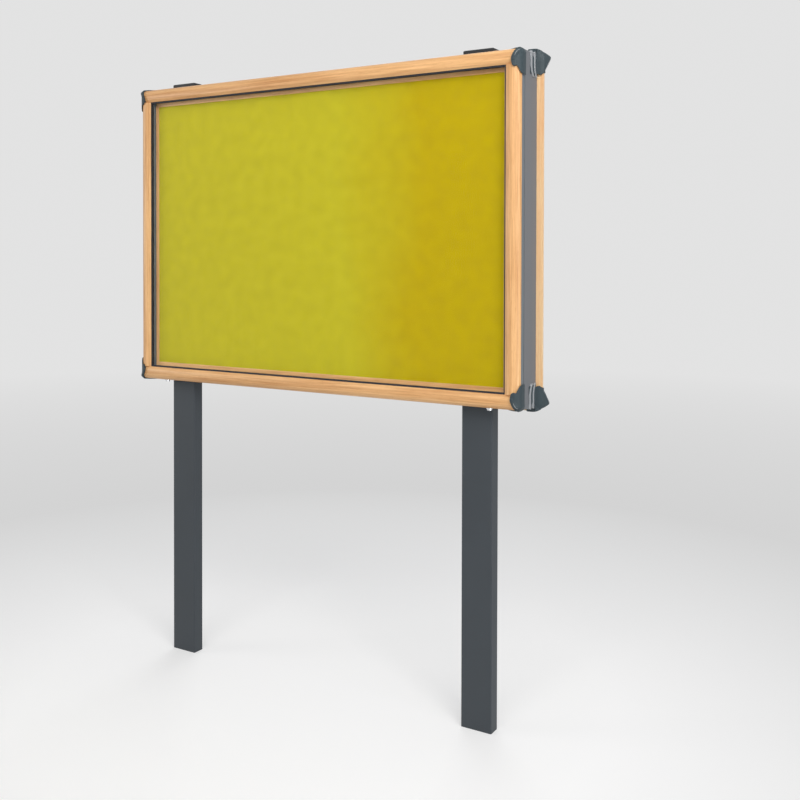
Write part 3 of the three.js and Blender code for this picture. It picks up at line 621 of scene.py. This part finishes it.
def build_contour_tree():
    """A straight frame profile: a rounded shoulder, a crest falling to the window, and a rebate behind."""
    tree = bpy.data.node_groups.new("Contour profile", "GeometryNodeTree")
    tree.is_modifier = True
    sockets = {
        "Geometry": ("Geometry",),
        "Float": ("Length", "Face Width", "Shoulder Width", "Crest Rise", "Shoulder Depth",
                  "Rebate Start", "Rebate Width", "Back Depth", "End Rounding"),
        "Int": ("Shoulder Steps", "Face Steps"),
        "Material": ("Finish",),
    }
    for kind, labels in sockets.items():
        for label in labels:
            tree.interface.new_socket(label, in_out="INPUT", socket_type="NodeSocket" + kind)
    tree.interface.new_socket("Geometry", in_out="OUTPUT", socket_type="NodeSocketGeometry")
    source = tree.nodes.new("NodeGroupInput").outputs

    def number(operation, *values):
        return arithmetic(tree, operation, *values)

    def plus(first, second):
        return number("ADD", first, second)

    def minus(first, second):
        return number("SUBTRACT", first, second)

    def times(first, second):
        return number("MULTIPLY", first, second)

    def point(*values):
        return outcome(tree, "ShaderNodeCombineXYZ", dict(enumerate(values)))

    def choose(point_number, first, second):
        """The second place from that point of the outline on, and the first before it."""
        past = number("GREATER_THAN", index, minus(point_number, HALF_STEP))
        values = {"Switch": past, "False": first, "True": second}
        return outcome(tree, "GeometryNodeSwitch", values, input_type="VECTOR")

    # Which point of the outline this is
    index = tree.nodes.new("GeometryNodeInputIndex").outputs[0]
    shoulder_steps = source["Shoulder Steps"]
    face_steps = source["Face Steps"]
    face_start = plus(shoulder_steps, 1.0)
    corner_start = plus(face_start, face_steps)

    # Shoulder: a quarter of an ellipse
    angle = times(number("DIVIDE", index, shoulder_steps), math.pi / 2)
    inwards = times(source["Shoulder Width"], minus(1.0, number("COSINE", angle)))
    whole = plus(source["Shoulder Depth"], source["Crest Rise"])
    rise = minus(times(whole, number("SINE", angle)), source["Shoulder Depth"])
    shoulder_point = point(inwards, rise)

    # Face: it falls ever faster to the window
    share = number("DIVIDE", minus(index, minus(face_start, 1.0)), face_steps)
    flat = minus(source["Face Width"], source["Shoulder Width"])
    face_in = plus(source["Shoulder Width"], times(flat, share))
    fall = minus(1.0, times(share, share))
    face_point = point(face_in, times(source["Crest Rise"], fall))

    # Rebate and back: four corners, in a switch that starts out with room for two
    start = times(source["Rebate Start"], -1.0)
    back = times(source["Back Depth"], -1.0)
    seat = minus(source["Face Width"], source["Rebate Width"])
    corner_points = (
        point(source["Face Width"], start), point(seat, start), point(seat, back), point(0.0, back),
    )
    corners = add_node(tree, "GeometryNodeIndexSwitch", data_type="VECTOR")
    for _ in corner_points[2:]:
        corners.index_switch_items.new()
    wire(tree, minus(index, corner_start), corners.inputs["Index"])
    for slot, value in enumerate(corner_points, 1):
        wire(tree, value, corners.inputs[slot])

    outline = choose(corner_start, choose(face_start, shoulder_point, face_point), corners.outputs[0])

    # The outline as a flat face
    count = plus(corner_start, float(len(corner_points)))
    line = outcome(tree, "GeometryNodeMeshLine", {"Count": count})
    shaped = outcome(tree, "GeometryNodeSetPosition", {"Geometry": line, "Position": outline})
    merged = outcome(tree, "GeometryNodeMergeByDistance", {"Geometry": shaped, "Distance": PROFILE_WELD})
    curve = outcome(tree, "GeometryNodeMeshToCurve", {"Mesh": merged})
    closed = outcome(tree, "GeometryNodeSetSplineCyclic", {"Geometry": curve, "Cyclic": True})
    filled = outcome(tree, "GeometryNodeFillCurve", {"Curve": closed}, mode="NGONS")

    # The face run along its length
    low_place = point(0.0, 0.0, times(times(source["Length"], 0.5), -1.0))
    low = outcome(tree, "GeometryNodeTransform", {"Geometry": filled, "Translation": low_place})
    grown = outcome(tree, "GeometryNodeExtrudeMesh",
                    {"Mesh": low, "Offset": point(0.0, 0.0, source["Length"]), "Individual": False})
    turned = outcome(tree, "GeometryNodeFlipFaces", {"Mesh": low})
    both = tree.nodes.new("GeometryNodeJoinGeometry")
    wire(tree, grown, both.inputs[0])
    wire(tree, turned, both.inputs[0])
    solid = outcome(tree, "GeometryNodeMergeByDistance",
                    {"Geometry": both.outputs[0], "Distance": PROFILE_WELD})

    # Ends that round off with the shoulder
    position = tree.nodes.new("GeometryNodeInputPosition").outputs[0]
    parts = add_node(tree, "ShaderNodeSeparateXYZ", {0: position}).outputs
    lifted = plus(parts[1], source["Shoulder Depth"])
    sine = number("MINIMUM", number("MAXIMUM", number("DIVIDE", lifted, whole), 0.0), 1.0)
    bend = minus(1.0, number("SQRT", minus(1.0, times(sine, sine))))
    trim = times(times(bend, source["Shoulder Width"]), source["End Rounding"])
    shift = point(0.0, 0.0, times(times(trim, number("SIGN", parts[2])), -1.0))
    ends = outcome(tree, "GeometryNodeSetPosition", {"Geometry": solid, "Offset": shift})
    real = outcome(tree, "GeometryNodeRealizeInstances", {"Geometry": ends})
    painted = outcome(tree, "GeometryNodeSetMaterial", {"Geometry": real, "Material": source["Finish"]})
    add_node(tree, "NodeGroupOutput", {"Geometry": painted})
    return tree


def bake_tree(tree, values):
    """Runs a geometry tree on an empty mesh and returns its result as a plain mesh."""
    sockets = {item.name: item.identifier for item in tree.interface.items_tree if item.in_out == "INPUT"}

    def add_profile(holder):
        modifier = holder.modifiers.new("Profile", "NODES")
        modifier.node_group = tree
        for label, value in values.items():
            modifier[sockets[label]] = value

    mesh = baked_copy(bpy.data.meshes.new("profile_maker"), add_profile)
    if len(mesh.polygons) < LEAST_FACES:
        raise RuntimeError("the profile tree made no solid")
    return mesh


def cut_near_ends(mesh, half_length, radius):
    """Adds rings to a rail near both ends, so that its corners can be rounded."""
    shape = bmesh.new()
    shape.from_mesh(mesh)
    for step in range(1, round(radius / CORNER_CUT) + 1):
        for _, sign in SIDES:
            bmesh.ops.bisect_plane(
                shape, geom=shape.verts[:] + shape.edges[:] + shape.faces[:],
                plane_co=(sign * (half_length - step * CORNER_CUT), 0, 0), plane_no=(1, 0, 0))
    shape.to_mesh(mesh)
    shape.free()


def round_corner(mesh, corner, radius, amount, side, height):
    """Pulls a square corner of a frame in to a round one, seen from the front."""
    for vertex in mesh.vertices:
        across = radius - side * (corner.x - vertex.co.x)
        down = radius - height * (corner.z - vertex.co.z)
        if across <= 0.0 or down <= 0.0:
            continue
        scale = 1.0 + (max(across, down) / math.hypot(across, down) - 1.0) * amount
        vertex.co.x = corner.x + side * (across * scale - radius)
        vertex.co.z = corner.z + height * (down * scale - radius)


def contour_piece(tree, name, inwards, outwards, origin, values, key, body, rounding=None):
    """Bakes one profile and lays it along the cross product of its two directions."""
    mesh = bake_tree(tree, {**values, "Finish": material_for(key)})
    along = inwards.cross(outwards)
    turn = Matrix((inwards, outwards, along)).transposed().to_4x4()
    mesh.transform(Matrix.Translation(origin) @ turn)
    if rounding is not None:
        half_length, height, (radius, amount) = rounding
        cut_near_ends(mesh, half_length, radius)
        for _, sign in SIDES:
            corner = Vector((sign * half_length, 0, origin.z))
            round_corner(mesh, corner, radius, amount, sign, height)
    smooth_faces(mesh, PROFILE_EDGE)
    add_piece(name + "_profile", mesh, key, body, "wood_effect", name)


class NOTICEBOARD_OT_contours(bpy.types.Operator):
    """Shape the wood contour rails and stiles of both frames"""

    bl_idname = "notice_board.contours"
    bl_label = "Wood Contours"

    def execute(self, context):
        sizes = context.scene.notice_board_sizes
        tree = build_contour_tree()
        top_low, top_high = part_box("door_top_rail")
        rear_low, rear_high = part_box("rear_top_rail")
        bottom_low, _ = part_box("door_bottom_rail")
        rear_bottom_low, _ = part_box("rear_bottom_rail")
        door_plane = top_low.y + sizes.crest_rise
        rear_plane = rear_high.y - sizes.crest_rise
        frames = (
            ("door", "door", Vector((0, -1, 0)), door_plane, top_high, bottom_low,
             DOOR_REBATE, sizes.contour_depth, DOOR_CORNER, "wood"),
            # The rear frame takes the paler oak, as painted light.
            ("rear", "case", Vector((0, 1, 0)), rear_plane, rear_high, rear_bottom_low,
             REAR_REBATE, rear_plane - rear_low.y, REAR_CORNER, "rear"),
        )
        for label, body, outwards, plane, high, low, rebate, back, corner, oak in frames:
            shape = {
                "Face Width": sizes.face_width,
                "Shoulder Width": sizes.shoulder_width,
                "Crest Rise": sizes.crest_rise,
                "Shoulder Depth": sizes.contour_depth,
                "Rebate Start": rebate[0],
                "Rebate Width": rebate[1],
                "Back Depth": back,
                "Shoulder Steps": SHOULDER_STEPS,
                "Face Steps": FACE_STEPS,
            }
            middle = (high.z + low.z) / 2
            half_width = high.x
            half_height = (high.z - low.z) / 2
            rail = {**shape, "Length": 2 * half_width, "End Rounding": 1.0}
            stile_length = 2 * (half_height - sizes.face_width - sizes.joint_gap)
            stile = {**shape, "Length": stile_length, "End Rounding": 0.0}
            for height, sign in HEIGHTS:
                origin = Vector((0, plane, middle + sign * half_height))
                contour_piece(tree, f"{label}_{height}_rail", Vector((0, 0, -sign)), outwards, origin,
                              rail, oak + "_across", body, (half_width, sign, corner))
            for side, sign in SIDES:
                origin = Vector((sign * half_width, plane, middle))
                contour_piece(tree, f"{label}_{side}_stile", Vector((-sign, 0, 0)), outwards, origin,
                              stile, oak + "_upright", body)
        return {"FINISHED"}


# Corner caps

def corners_of(label):
    """Lowest and highest corner of the door's frame, the case or the rear frame."""
    names = {
        "door": ("door_top_rail", "door_bottom_rail"),
        "case": ("case_left_side", "case_right_side", "case_top_rail", "case_bottom_rail"),
        "rear": ("rear_top_rail", "rear_bottom_rail"),
    }[label]
    boxes = [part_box(name) for name in names]
    low = Vector([min(box[0][axis] for box in boxes) for axis in range(3)])
    high = Vector([max(box[1][axis] for box in boxes) for axis in range(3)])
    return low, high


def outer_corner(label, side, height):
    """One of its outer corners as seen from the front, at no depth."""
    low, high = corners_of(label)
    return Vector((side * high.x, 0, high.z if height > 0 else low.z))


def frame_front():
    """Depth of the plane from which the board's depths are counted: where the wood meets its window."""
    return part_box("door_top_rail")[0].y + bpy.context.scene.notice_board_sizes.crest_rise


def spread(line):
    """The points of a line with more between them."""
    points = []
    for start, end in zip(line, line[1:]):
        for step in range(LINE_STEPS):
            points.append(tuple(Vector(start).lerp(Vector(end), step / LINE_STEPS)))
    return points + [line[-1]]


def edge_distance(point, line):
    """Distance from a point to an open line of points in a plane."""
    best = math.inf
    for start, end in zip(line, line[1:]):
        span = Vector(end) - Vector(start)
        share = max(0.0, min(1.0, (point - Vector(start)).dot(span) / span.length_squared))
        best = min(best, (point - Vector(start) - span * share).length)
    return best


def moulded_cap(name):
    """A cap with an even fine mesh, its creases still crisp."""

    def even_out(holder):
        voxels = holder.modifiers.new("Voxels", "REMESH")
        voxels.mode = "VOXEL"
        voxels.voxel_size = bpy.context.scene.notice_board_sizes.cap_detail
        relax = holder.modifiers.new("Relax", "SMOOTH")
        relax.factor = RELAX_FACTOR
        relax.iterations = RELAX_ROUNDS

    mesh = baked_copy(smoothed_copy(name), even_out)
    smooth_faces(mesh)
    return mesh


def raise_ridge(mesh, corner, facing, side, height):
    """Draws the nose of a front cap out to a ridge."""
    limit = CAD_BOX[0][1]
    normals = [vertex.normal.copy() for vertex in mesh.vertices]
    for vertex, normal in zip(mesh.vertices, normals):
        outward = max(0.0, normal.dot(facing))
        if outward == 0.0:
            continue
        flat = Vector((side * (corner.x - vertex.co.x), height * (corner.z - vertex.co.z)))
        near = 1.0 - edge_distance(flat, CAP_RIDGE) / RIDGE_REACH
        if near > 0.0:
            vertex.co += normal * (RIDGE_RISE * near * min(1.0, RIDGE_ONSET * outward))
            vertex.co.y = max(vertex.co.y, limit)


def past_edge(depth, drop):
    """Whether a place lies below the lower edge of a rear cap's leaf."""
    lower = LEAF_EDGE[LEAF_TIP:]
    for (far, high), (near, low) in zip(lower, lower[1:]):
        if near <= depth <= far:
            return drop > high + (low - high) * (far - depth) / (far - near) + LEAF_SPARE
    return False


def bevel_leaf(mesh, corner, back, side, height):
    """Lets the rim of a rear cap's leaf fall away behind a fine raised line."""
    wood_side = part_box("rear_right_stile")[1].x - LEAF_UNDER
    outward = [max(0.0, side * vertex.normal.x) for vertex in mesh.vertices]
    for vertex, share in zip(mesh.vertices, outward):
        depth = vertex.co.y - back
        if depth < 0.0 or share == 0.0:
            continue
        flat = Vector((depth, height * (corner.z - vertex.co.z)))
        if past_edge(depth, flat.y):
            vertex.co.x = side * min(side * vertex.co.x, wood_side)
            continue
        gap = edge_distance(flat, LEAF_EDGE)
        fall = LEAF_FALL * max(0.0, 1.0 - gap / LEAF_RIM)
        line = LEAF_LINE * max(0.0, 1.0 - abs(gap - LEAF_RIM) / LEAF_LINE_HALF)
        vertex.co.x += side * share * (line - fall)


def traced_line(name, cap, starts, direction, body):
    """A fine raised line on a cap, laid where rays from the starts meet it, in a lighter slate as a painted
    highlight.
    """
    surface = BVHTree.FromPolygons([vertex.co for vertex in cap.vertices],
                                   [face.vertices for face in cap.polygons])
    curve = bpy.data.curves.new(name, "CURVE")
    curve.dimensions = "3D"
    curve.bevel_depth = LINE_RADIUS
    curve.bevel_resolution = LINE_ROUNDING
    curve.use_fill_caps = True
    spline = curve.splines.new("POLY")
    last = len(starts) - 1
    spline.points.add(last)
    for index, (point, start) in enumerate(zip(spline.points, starts)):
        place, _, _, _ = surface.ray_cast(start, direction)
        if place is None:
            raise RuntimeError(f"the line {name} misses its cap")
        point.co = (*(place + direction * LINE_SINK), 1.0)
        point.radius = min(1.0, LINE_TIP + min(index, last - index) / LINE_TAPER)
    mesh = baked_copy(curve)
    shape = bmesh.new()
    shape.from_mesh(mesh)
    bmesh.ops.remove_doubles(shape, verts=shape.verts, dist=FINE_WELD)
    bmesh.ops.recalc_face_normals(shape, faces=shape.faces)
    shape.to_mesh(mesh)
    shape.free()
    smooth_faces(mesh)
    add_piece(name, mesh, "slate_edge", body, "moulding")


def front_cap(place, side, height):
    """A cap of the door, its nose drawn out to a ridge with a fine line along it, lighter as a painted
    highlight.
    """
    name = f"door_cap_{place}"
    corner = outer_corner("door", side, height)
    facing = Vector((side * CAP_FACING.x, CAP_FACING.y, height * CAP_FACING.z))
    cap = moulded_cap(name)
    raise_ridge(cap, corner, facing, side, height)
    round_corner(cap, corner, *DOOR_CORNER, side, height)
    front = frame_front()
    starts = [corner + Vector((-side * across, front, -height * drop)) + facing * LINE_START
              for across, drop in spread(CAP_RIDGE)]
    traced_line(f"nose_line_{place}", cap, starts, -facing, "door")
    add_piece(name + "_moulding", cap, "slate", "door", "moulding", name)


def rear_cap(place, side, height):
    """A cap of the rear frame, with the bevelled rim of its leaf and a fine line on it, lighter as a painted
    highlight.
    """
    name = f"rear_cap_{place}"
    corner = outer_corner("rear", side, height)
    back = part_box("rear_right_stile")[0].y
    cap = moulded_cap(name)
    bevel_leaf(cap, corner, back, side, height)
    round_corner(cap, corner, *REAR_CORNER, side, height)
    starts = [corner + Vector((side * LINE_START, back + depth, -height * drop))
              for depth, drop in spread(LEAF_LINE_PATH)]
    traced_line(f"leaf_line_{place}", cap, starts, Vector((-side, 0, 0)), "case")
    add_piece(name + "_moulding", cap, "slate", "case", "moulding", name)


def collar_path(corner, side, height):
    """Places along a collar strip, each with its way outwards and how far it bows back."""
    path = []
    for step in range(COLLAR_STEPS):
        drop = COLLAR_DROP * (1.0 - step / COLLAR_STEPS)
        bow = COLLAR_BOW * max(0.0, (drop - COLLAR_BOW_FROM) / (COLLAR_DROP - COLLAR_BOW_FROM)) ** 2
        path.append((Vector((corner.x, 0, corner.z - height * drop)), Vector((side, 0, 0)), bow))
    path.append((corner, Vector((side, 0, height)), 0.0))
    for step in range(1, COLLAR_STEPS + 1):
        inwards = COLLAR_REACH * step / COLLAR_STEPS
        path.append((Vector((corner.x - side * inwards, 0, corner.z)), Vector((0, 0, height)), 0.0))
    return path


def collar_strip(name, start, width, corner, side, height):
    """A rounded strip that runs up the case's side, over its corner and along its top or bottom, in a
    lighter slate as a painted highlight.
    """
    shape = bmesh.new()
    rings = []
    for place, out, bow in collar_path(corner, side, height):
        ring = []
        for index in range(COLLAR_SECTION + 1):
            angle = math.pi * index / COLLAR_SECTION
            rise = COLLAR_SEAT + COLLAR_RISE * math.sin(angle)
            depth = start + bow + width * (1.0 - math.cos(angle)) / 2
            ring.append(shape.verts.new(place + out * rise + Vector((0, depth, 0))))
        for depth in (start + bow + width, start + bow):
            ring.append(shape.verts.new(place + Vector((0, depth, 0))))
        rings.append(ring)
    count = len(rings[0])
    for first, second in zip(rings, rings[1:]):
        for index in range(count):
            after = (index + 1) % count
            shape.faces.new((first[index], first[after], second[after], second[index]))
    shape.faces.new(rings[0])
    shape.faces.new(list(reversed(rings[-1])))
    bmesh.ops.recalc_face_normals(shape, faces=shape.faces)
    mesh = as_mesh(shape, name)
    smooth_faces(mesh, STRIP_EDGE)
    add_piece(name, mesh, "slate_edge", "case", "moulding")


class NOTICEBOARD_OT_corner_caps(bpy.types.Operator):
    """Shape the moulded corner caps of both frames and the collar strips beside them"""

    bl_idname = "notice_board.corner_caps"
    bl_label = "Corner Caps"

    def execute(self, context):
        front = frame_front()
        for height, up in HEIGHTS:
            for side, sign in SIDES:
                place = f"{height}_{side}"
                front_cap(place, sign, up)
                rear_cap(place, sign, up)
                corner = outer_corner("case", sign, up)
                for index, (start, width) in enumerate(COLLAR_STRIPS, 1):
                    collar_strip(f"collar_{place}_{index}", front + start, width, corner, sign, up)
        return {"FINISHED"}


# Pieces that keep the shape of their solids

class NOTICEBOARD_OT_case(bpy.types.Operator):
    """Finish the case, the door's metal carrier and the back panel"""

    bl_idname = "notice_board.case"
    bl_label = "Case and Carrier"

    def execute(self, context):
        dress("case", "case_left_side", "case_right_side", "case_top_rail", "case_bottom_rail", "back_panel")
        dress("carrier", "carrier_top", "carrier_bottom", "carrier_left", "carrier_right")
        for level in ("upper", "lower"):
            dress("zinc", f"left_{level}_bracket", f"right_{level}_bracket", f"{level}_cross_rail")
        return {"FINISHED"}


class NOTICEBOARD_OT_pinboard(bpy.types.Operator):
    """Finish the felt, its core and its bead"""

    bl_idname = "notice_board.pinboard"
    bl_label = "Pinboard"

    def execute(self, context):
        dress("felt", "pinboard_felt")
        dress("fibre", "pinboard_core")
        dress("wood_bead", "pinboard_bead")
        return {"FINISHED"}


class NOTICEBOARD_OT_glazing(bpy.types.Operator):
    """Finish the glazing, its gasket and the weather seal"""

    bl_idname = "notice_board.glazing"
    bl_label = "Glazing and Seals"

    def execute(self, context):
        dress("glass", "glazing")
        dress("rubber", "glazing_gasket", "weather_seal")
        return {"FINISHED"}


class NOTICEBOARD_OT_posts(bpy.types.Operator):
    """Finish the posts and their caps"""

    bl_idname = "notice_board.posts"
    bl_label = "Posts"

    def execute(self, context):
        refine("post", "case", "post_coat", "left_post", "right_post")
        refine("black", "case", "post_cap", "left_post_cap", "right_post_cap")
        return {"FINISHED"}


class NOTICEBOARD_OT_hardware(bpy.types.Operator):
    """Finish the hinge, the locks and the gas struts"""

    bl_idname = "notice_board.hardware"
    bl_label = "Hinge, Locks and Struts"

    def execute(self, context):
        refine("stainless", "door", "hinge_steel", "hinge_door_leaf")
        refine("stainless", "case", "hinge_steel", "hinge_case_leaf", "hinge_pin")
        for side, _ in SIDES:
            refine("chrome", "door", "chrome", f"{side}_lock_barrel")
            refine("chrome", f"{side}_lock", "chrome", f"{side}_lock_plug")
            refine("zinc", f"{side}_lock", "zinc_steel", f"{side}_lock_cam")
            refine("zinc", "case", "zinc_steel", f"{side}_keeper", f"{side}_case_stud")
            refine("zinc", "door", "zinc_steel", f"{side}_door_stud")
            refine("enamel", f"{side}_cylinder", "strut_black", f"{side}_strut_cylinder")
            refine("chrome", f"{side}_rod", "strut_rod", f"{side}_strut_rod")
        return {"FINISHED"}


# Stage

def grey(level):
    return (level, level, level, 1.0)


def shown_paths(tree):
    """One where the camera sees the surface, straight on, in a mirror or through glass."""
    paths = tree.nodes.new("ShaderNodeLightPath").outputs
    total = paths["Is Camera Ray"]
    for label in ("Is Glossy Ray", "Is Transmission Ray"):
        total = arithmetic(tree, "MAXIMUM", total, paths[label])
    return total


def make_camera(context):
    data = bpy.data.cameras.new("board_camera")
    data.lens = LENS
    data.sensor_width = SENSOR
    data.shift_y = CAMERA_SHIFT
    camera = bpy.data.objects.new("board_camera", data)
    context.scene.collection.objects.link(camera)
    camera.location = CAMERA_PLACE
    camera.rotation_euler = [math.radians(angle) for angle in CAMERA_TURN]
    context.scene.camera = camera


def make_floor(context):
    """A pale floor that takes shadows near the board and fades into the backdrop further off."""
    shape = bmesh.new()
    bmesh.ops.create_grid(shape, x_segments=1, y_segments=1, size=FLOOR_REACH)
    mesh = as_mesh(shape, "floor")
    floor = bpy.data.objects.new("floor", mesh)
    floor.location.z = -FLOOR_DROP
    context.scene.collection.objects.link(floor)
    material, tree, shader, place = start_material("Pale floor")
    wire_all(tree, shader, {"Base Color": grey(FLOOR_NEAR), **FLOOR_SHADING})
    distance = add_node(tree, "ShaderNodeVectorMath", {0: place}, operation="LENGTH").outputs["Value"]
    seen = shown_paths(tree)

    # Further off, the backdrop's grey, first at a darker level as painted shade
    far = contrast(tree, distance, *SKY_FADE)
    level = blend_colours(tree, far, grey(SHADE_LEVEL), grey(SKY_LEVEL))
    glow = outcome(tree, "ShaderNodeEmission", {"Color": level, "Strength": 1.0})
    away = contrast(tree, distance, *FLOOR_FADE)
    mixed = mix_shaders(tree, arithmetic(tree, "MULTIPLY", away, seen), shader.outputs[0], glow)

    # Near the board, a lift that leaves its shadows
    lifted = arithmetic(tree, "MULTIPLY", arithmetic(tree, "SUBTRACT", 1.0, away), seen)
    lift = outcome(tree, "ShaderNodeEmission", {"Color": grey(FLOOR_LIFT), "Strength": lifted})
    show(tree, outcome(tree, "ShaderNodeAddShader", {0: mixed, 1: lift}))
    mesh.materials.append(material)


def make_sky(context):
    """A world that lights softly and shows as a plain pale grey."""
    world = bpy.data.worlds.new("Studio")
    context.scene.world = world
    world.use_nodes = True
    tree = world.node_tree
    tree.nodes.clear()
    ambient = outcome(tree, "ShaderNodeBackground", {"Color": AMBIENT_COLOUR, "Strength": AMBIENT_STRENGTH})
    seen = outcome(tree, "ShaderNodeBackground", {"Color": grey(SKY_LEVEL), "Strength": 1.0})
    add_node(tree, "ShaderNodeOutputWorld", {"Surface": mix_shaders(tree, shown_paths(tree), ambient, seen)})


def make_lamps(context):
    """Square soft lamps, all outside what the glazing mirrors to the camera."""
    target = Vector(LAMP_TARGET)
    for name, place, size, power, colour in LAMPS:
        data = bpy.data.lights.new(name, "AREA")
        data.shape = "SQUARE"
        data.size = size
        data.energy = power
        data.color = colour
        lamp = bpy.data.objects.new(name, data)
        lamp.location = place
        lamp.visible_camera = False
        lamp.visible_transmission = False
        lamp.rotation_euler = (target - Vector(place)).to_track_quat("-Z", "Y").to_euler()
        context.scene.collection.objects.link(lamp)


class NOTICEBOARD_OT_stage(bpy.types.Operator):
    """Set the camera, the floor, the backdrop and the lamps"""

    bl_idname = "notice_board.stage"
    bl_label = "Stage"

    def execute(self, context):
        make_camera(context)
        make_floor(context)
        make_sky(context)
        make_lamps(context)
        context.scene.view_settings.view_transform = "Standard"
        return {"FINISHED"}


# Panel and registration

STEPS = (
    NOTICEBOARD_OT_stage,
    NOTICEBOARD_OT_contours,
    NOTICEBOARD_OT_corner_caps,
    NOTICEBOARD_OT_case,
    NOTICEBOARD_OT_pinboard,
    NOTICEBOARD_OT_glazing,
    NOTICEBOARD_OT_posts,
    NOTICEBOARD_OT_hardware,
)


class NOTICEBOARD_PT_panel(bpy.types.Panel):
    """Lists the steps that dress the notice board"""

    bl_label = "Notice Board"
    bl_idname = "NOTICEBOARD_PT_panel"
    bl_space_type = "VIEW_3D"
    bl_region_type = "UI"
    bl_category = "Notice Board"

    def draw(self, context):
        layout = self.layout
        for settings in (context.scene.notice_board_sizes, context.scene.notice_board_colours):
            box = layout.box()
            for label in settings.bl_rna.properties.keys():
                if label not in ("rna_type", "name"):
                    box.prop(settings, label)
        for operator in STEPS:
            layout.operator(operator.bl_idname)


CLASSES = (NoticeBoardSizes, NoticeBoardColours, NOTICEBOARD_PT_panel) + STEPS


def register():
    for item in CLASSES:
        bpy.utils.register_class(item)
    bpy.types.Scene.notice_board_sizes = bpy.props.PointerProperty(type=NoticeBoardSizes)
    bpy.types.Scene.notice_board_colours = bpy.props.PointerProperty(type=NoticeBoardColours)


def unregister():
    del bpy.types.Scene.notice_board_colours
    del bpy.types.Scene.notice_board_sizes
    for item in reversed(CLASSES):
        bpy.utils.unregister_class(item)


def main():
    register()
    for operator in STEPS:
        step = operator.bl_idname.split(".")[1]
        getattr(bpy.ops.notice_board, step)()


if __name__ == "__main__":
    main()
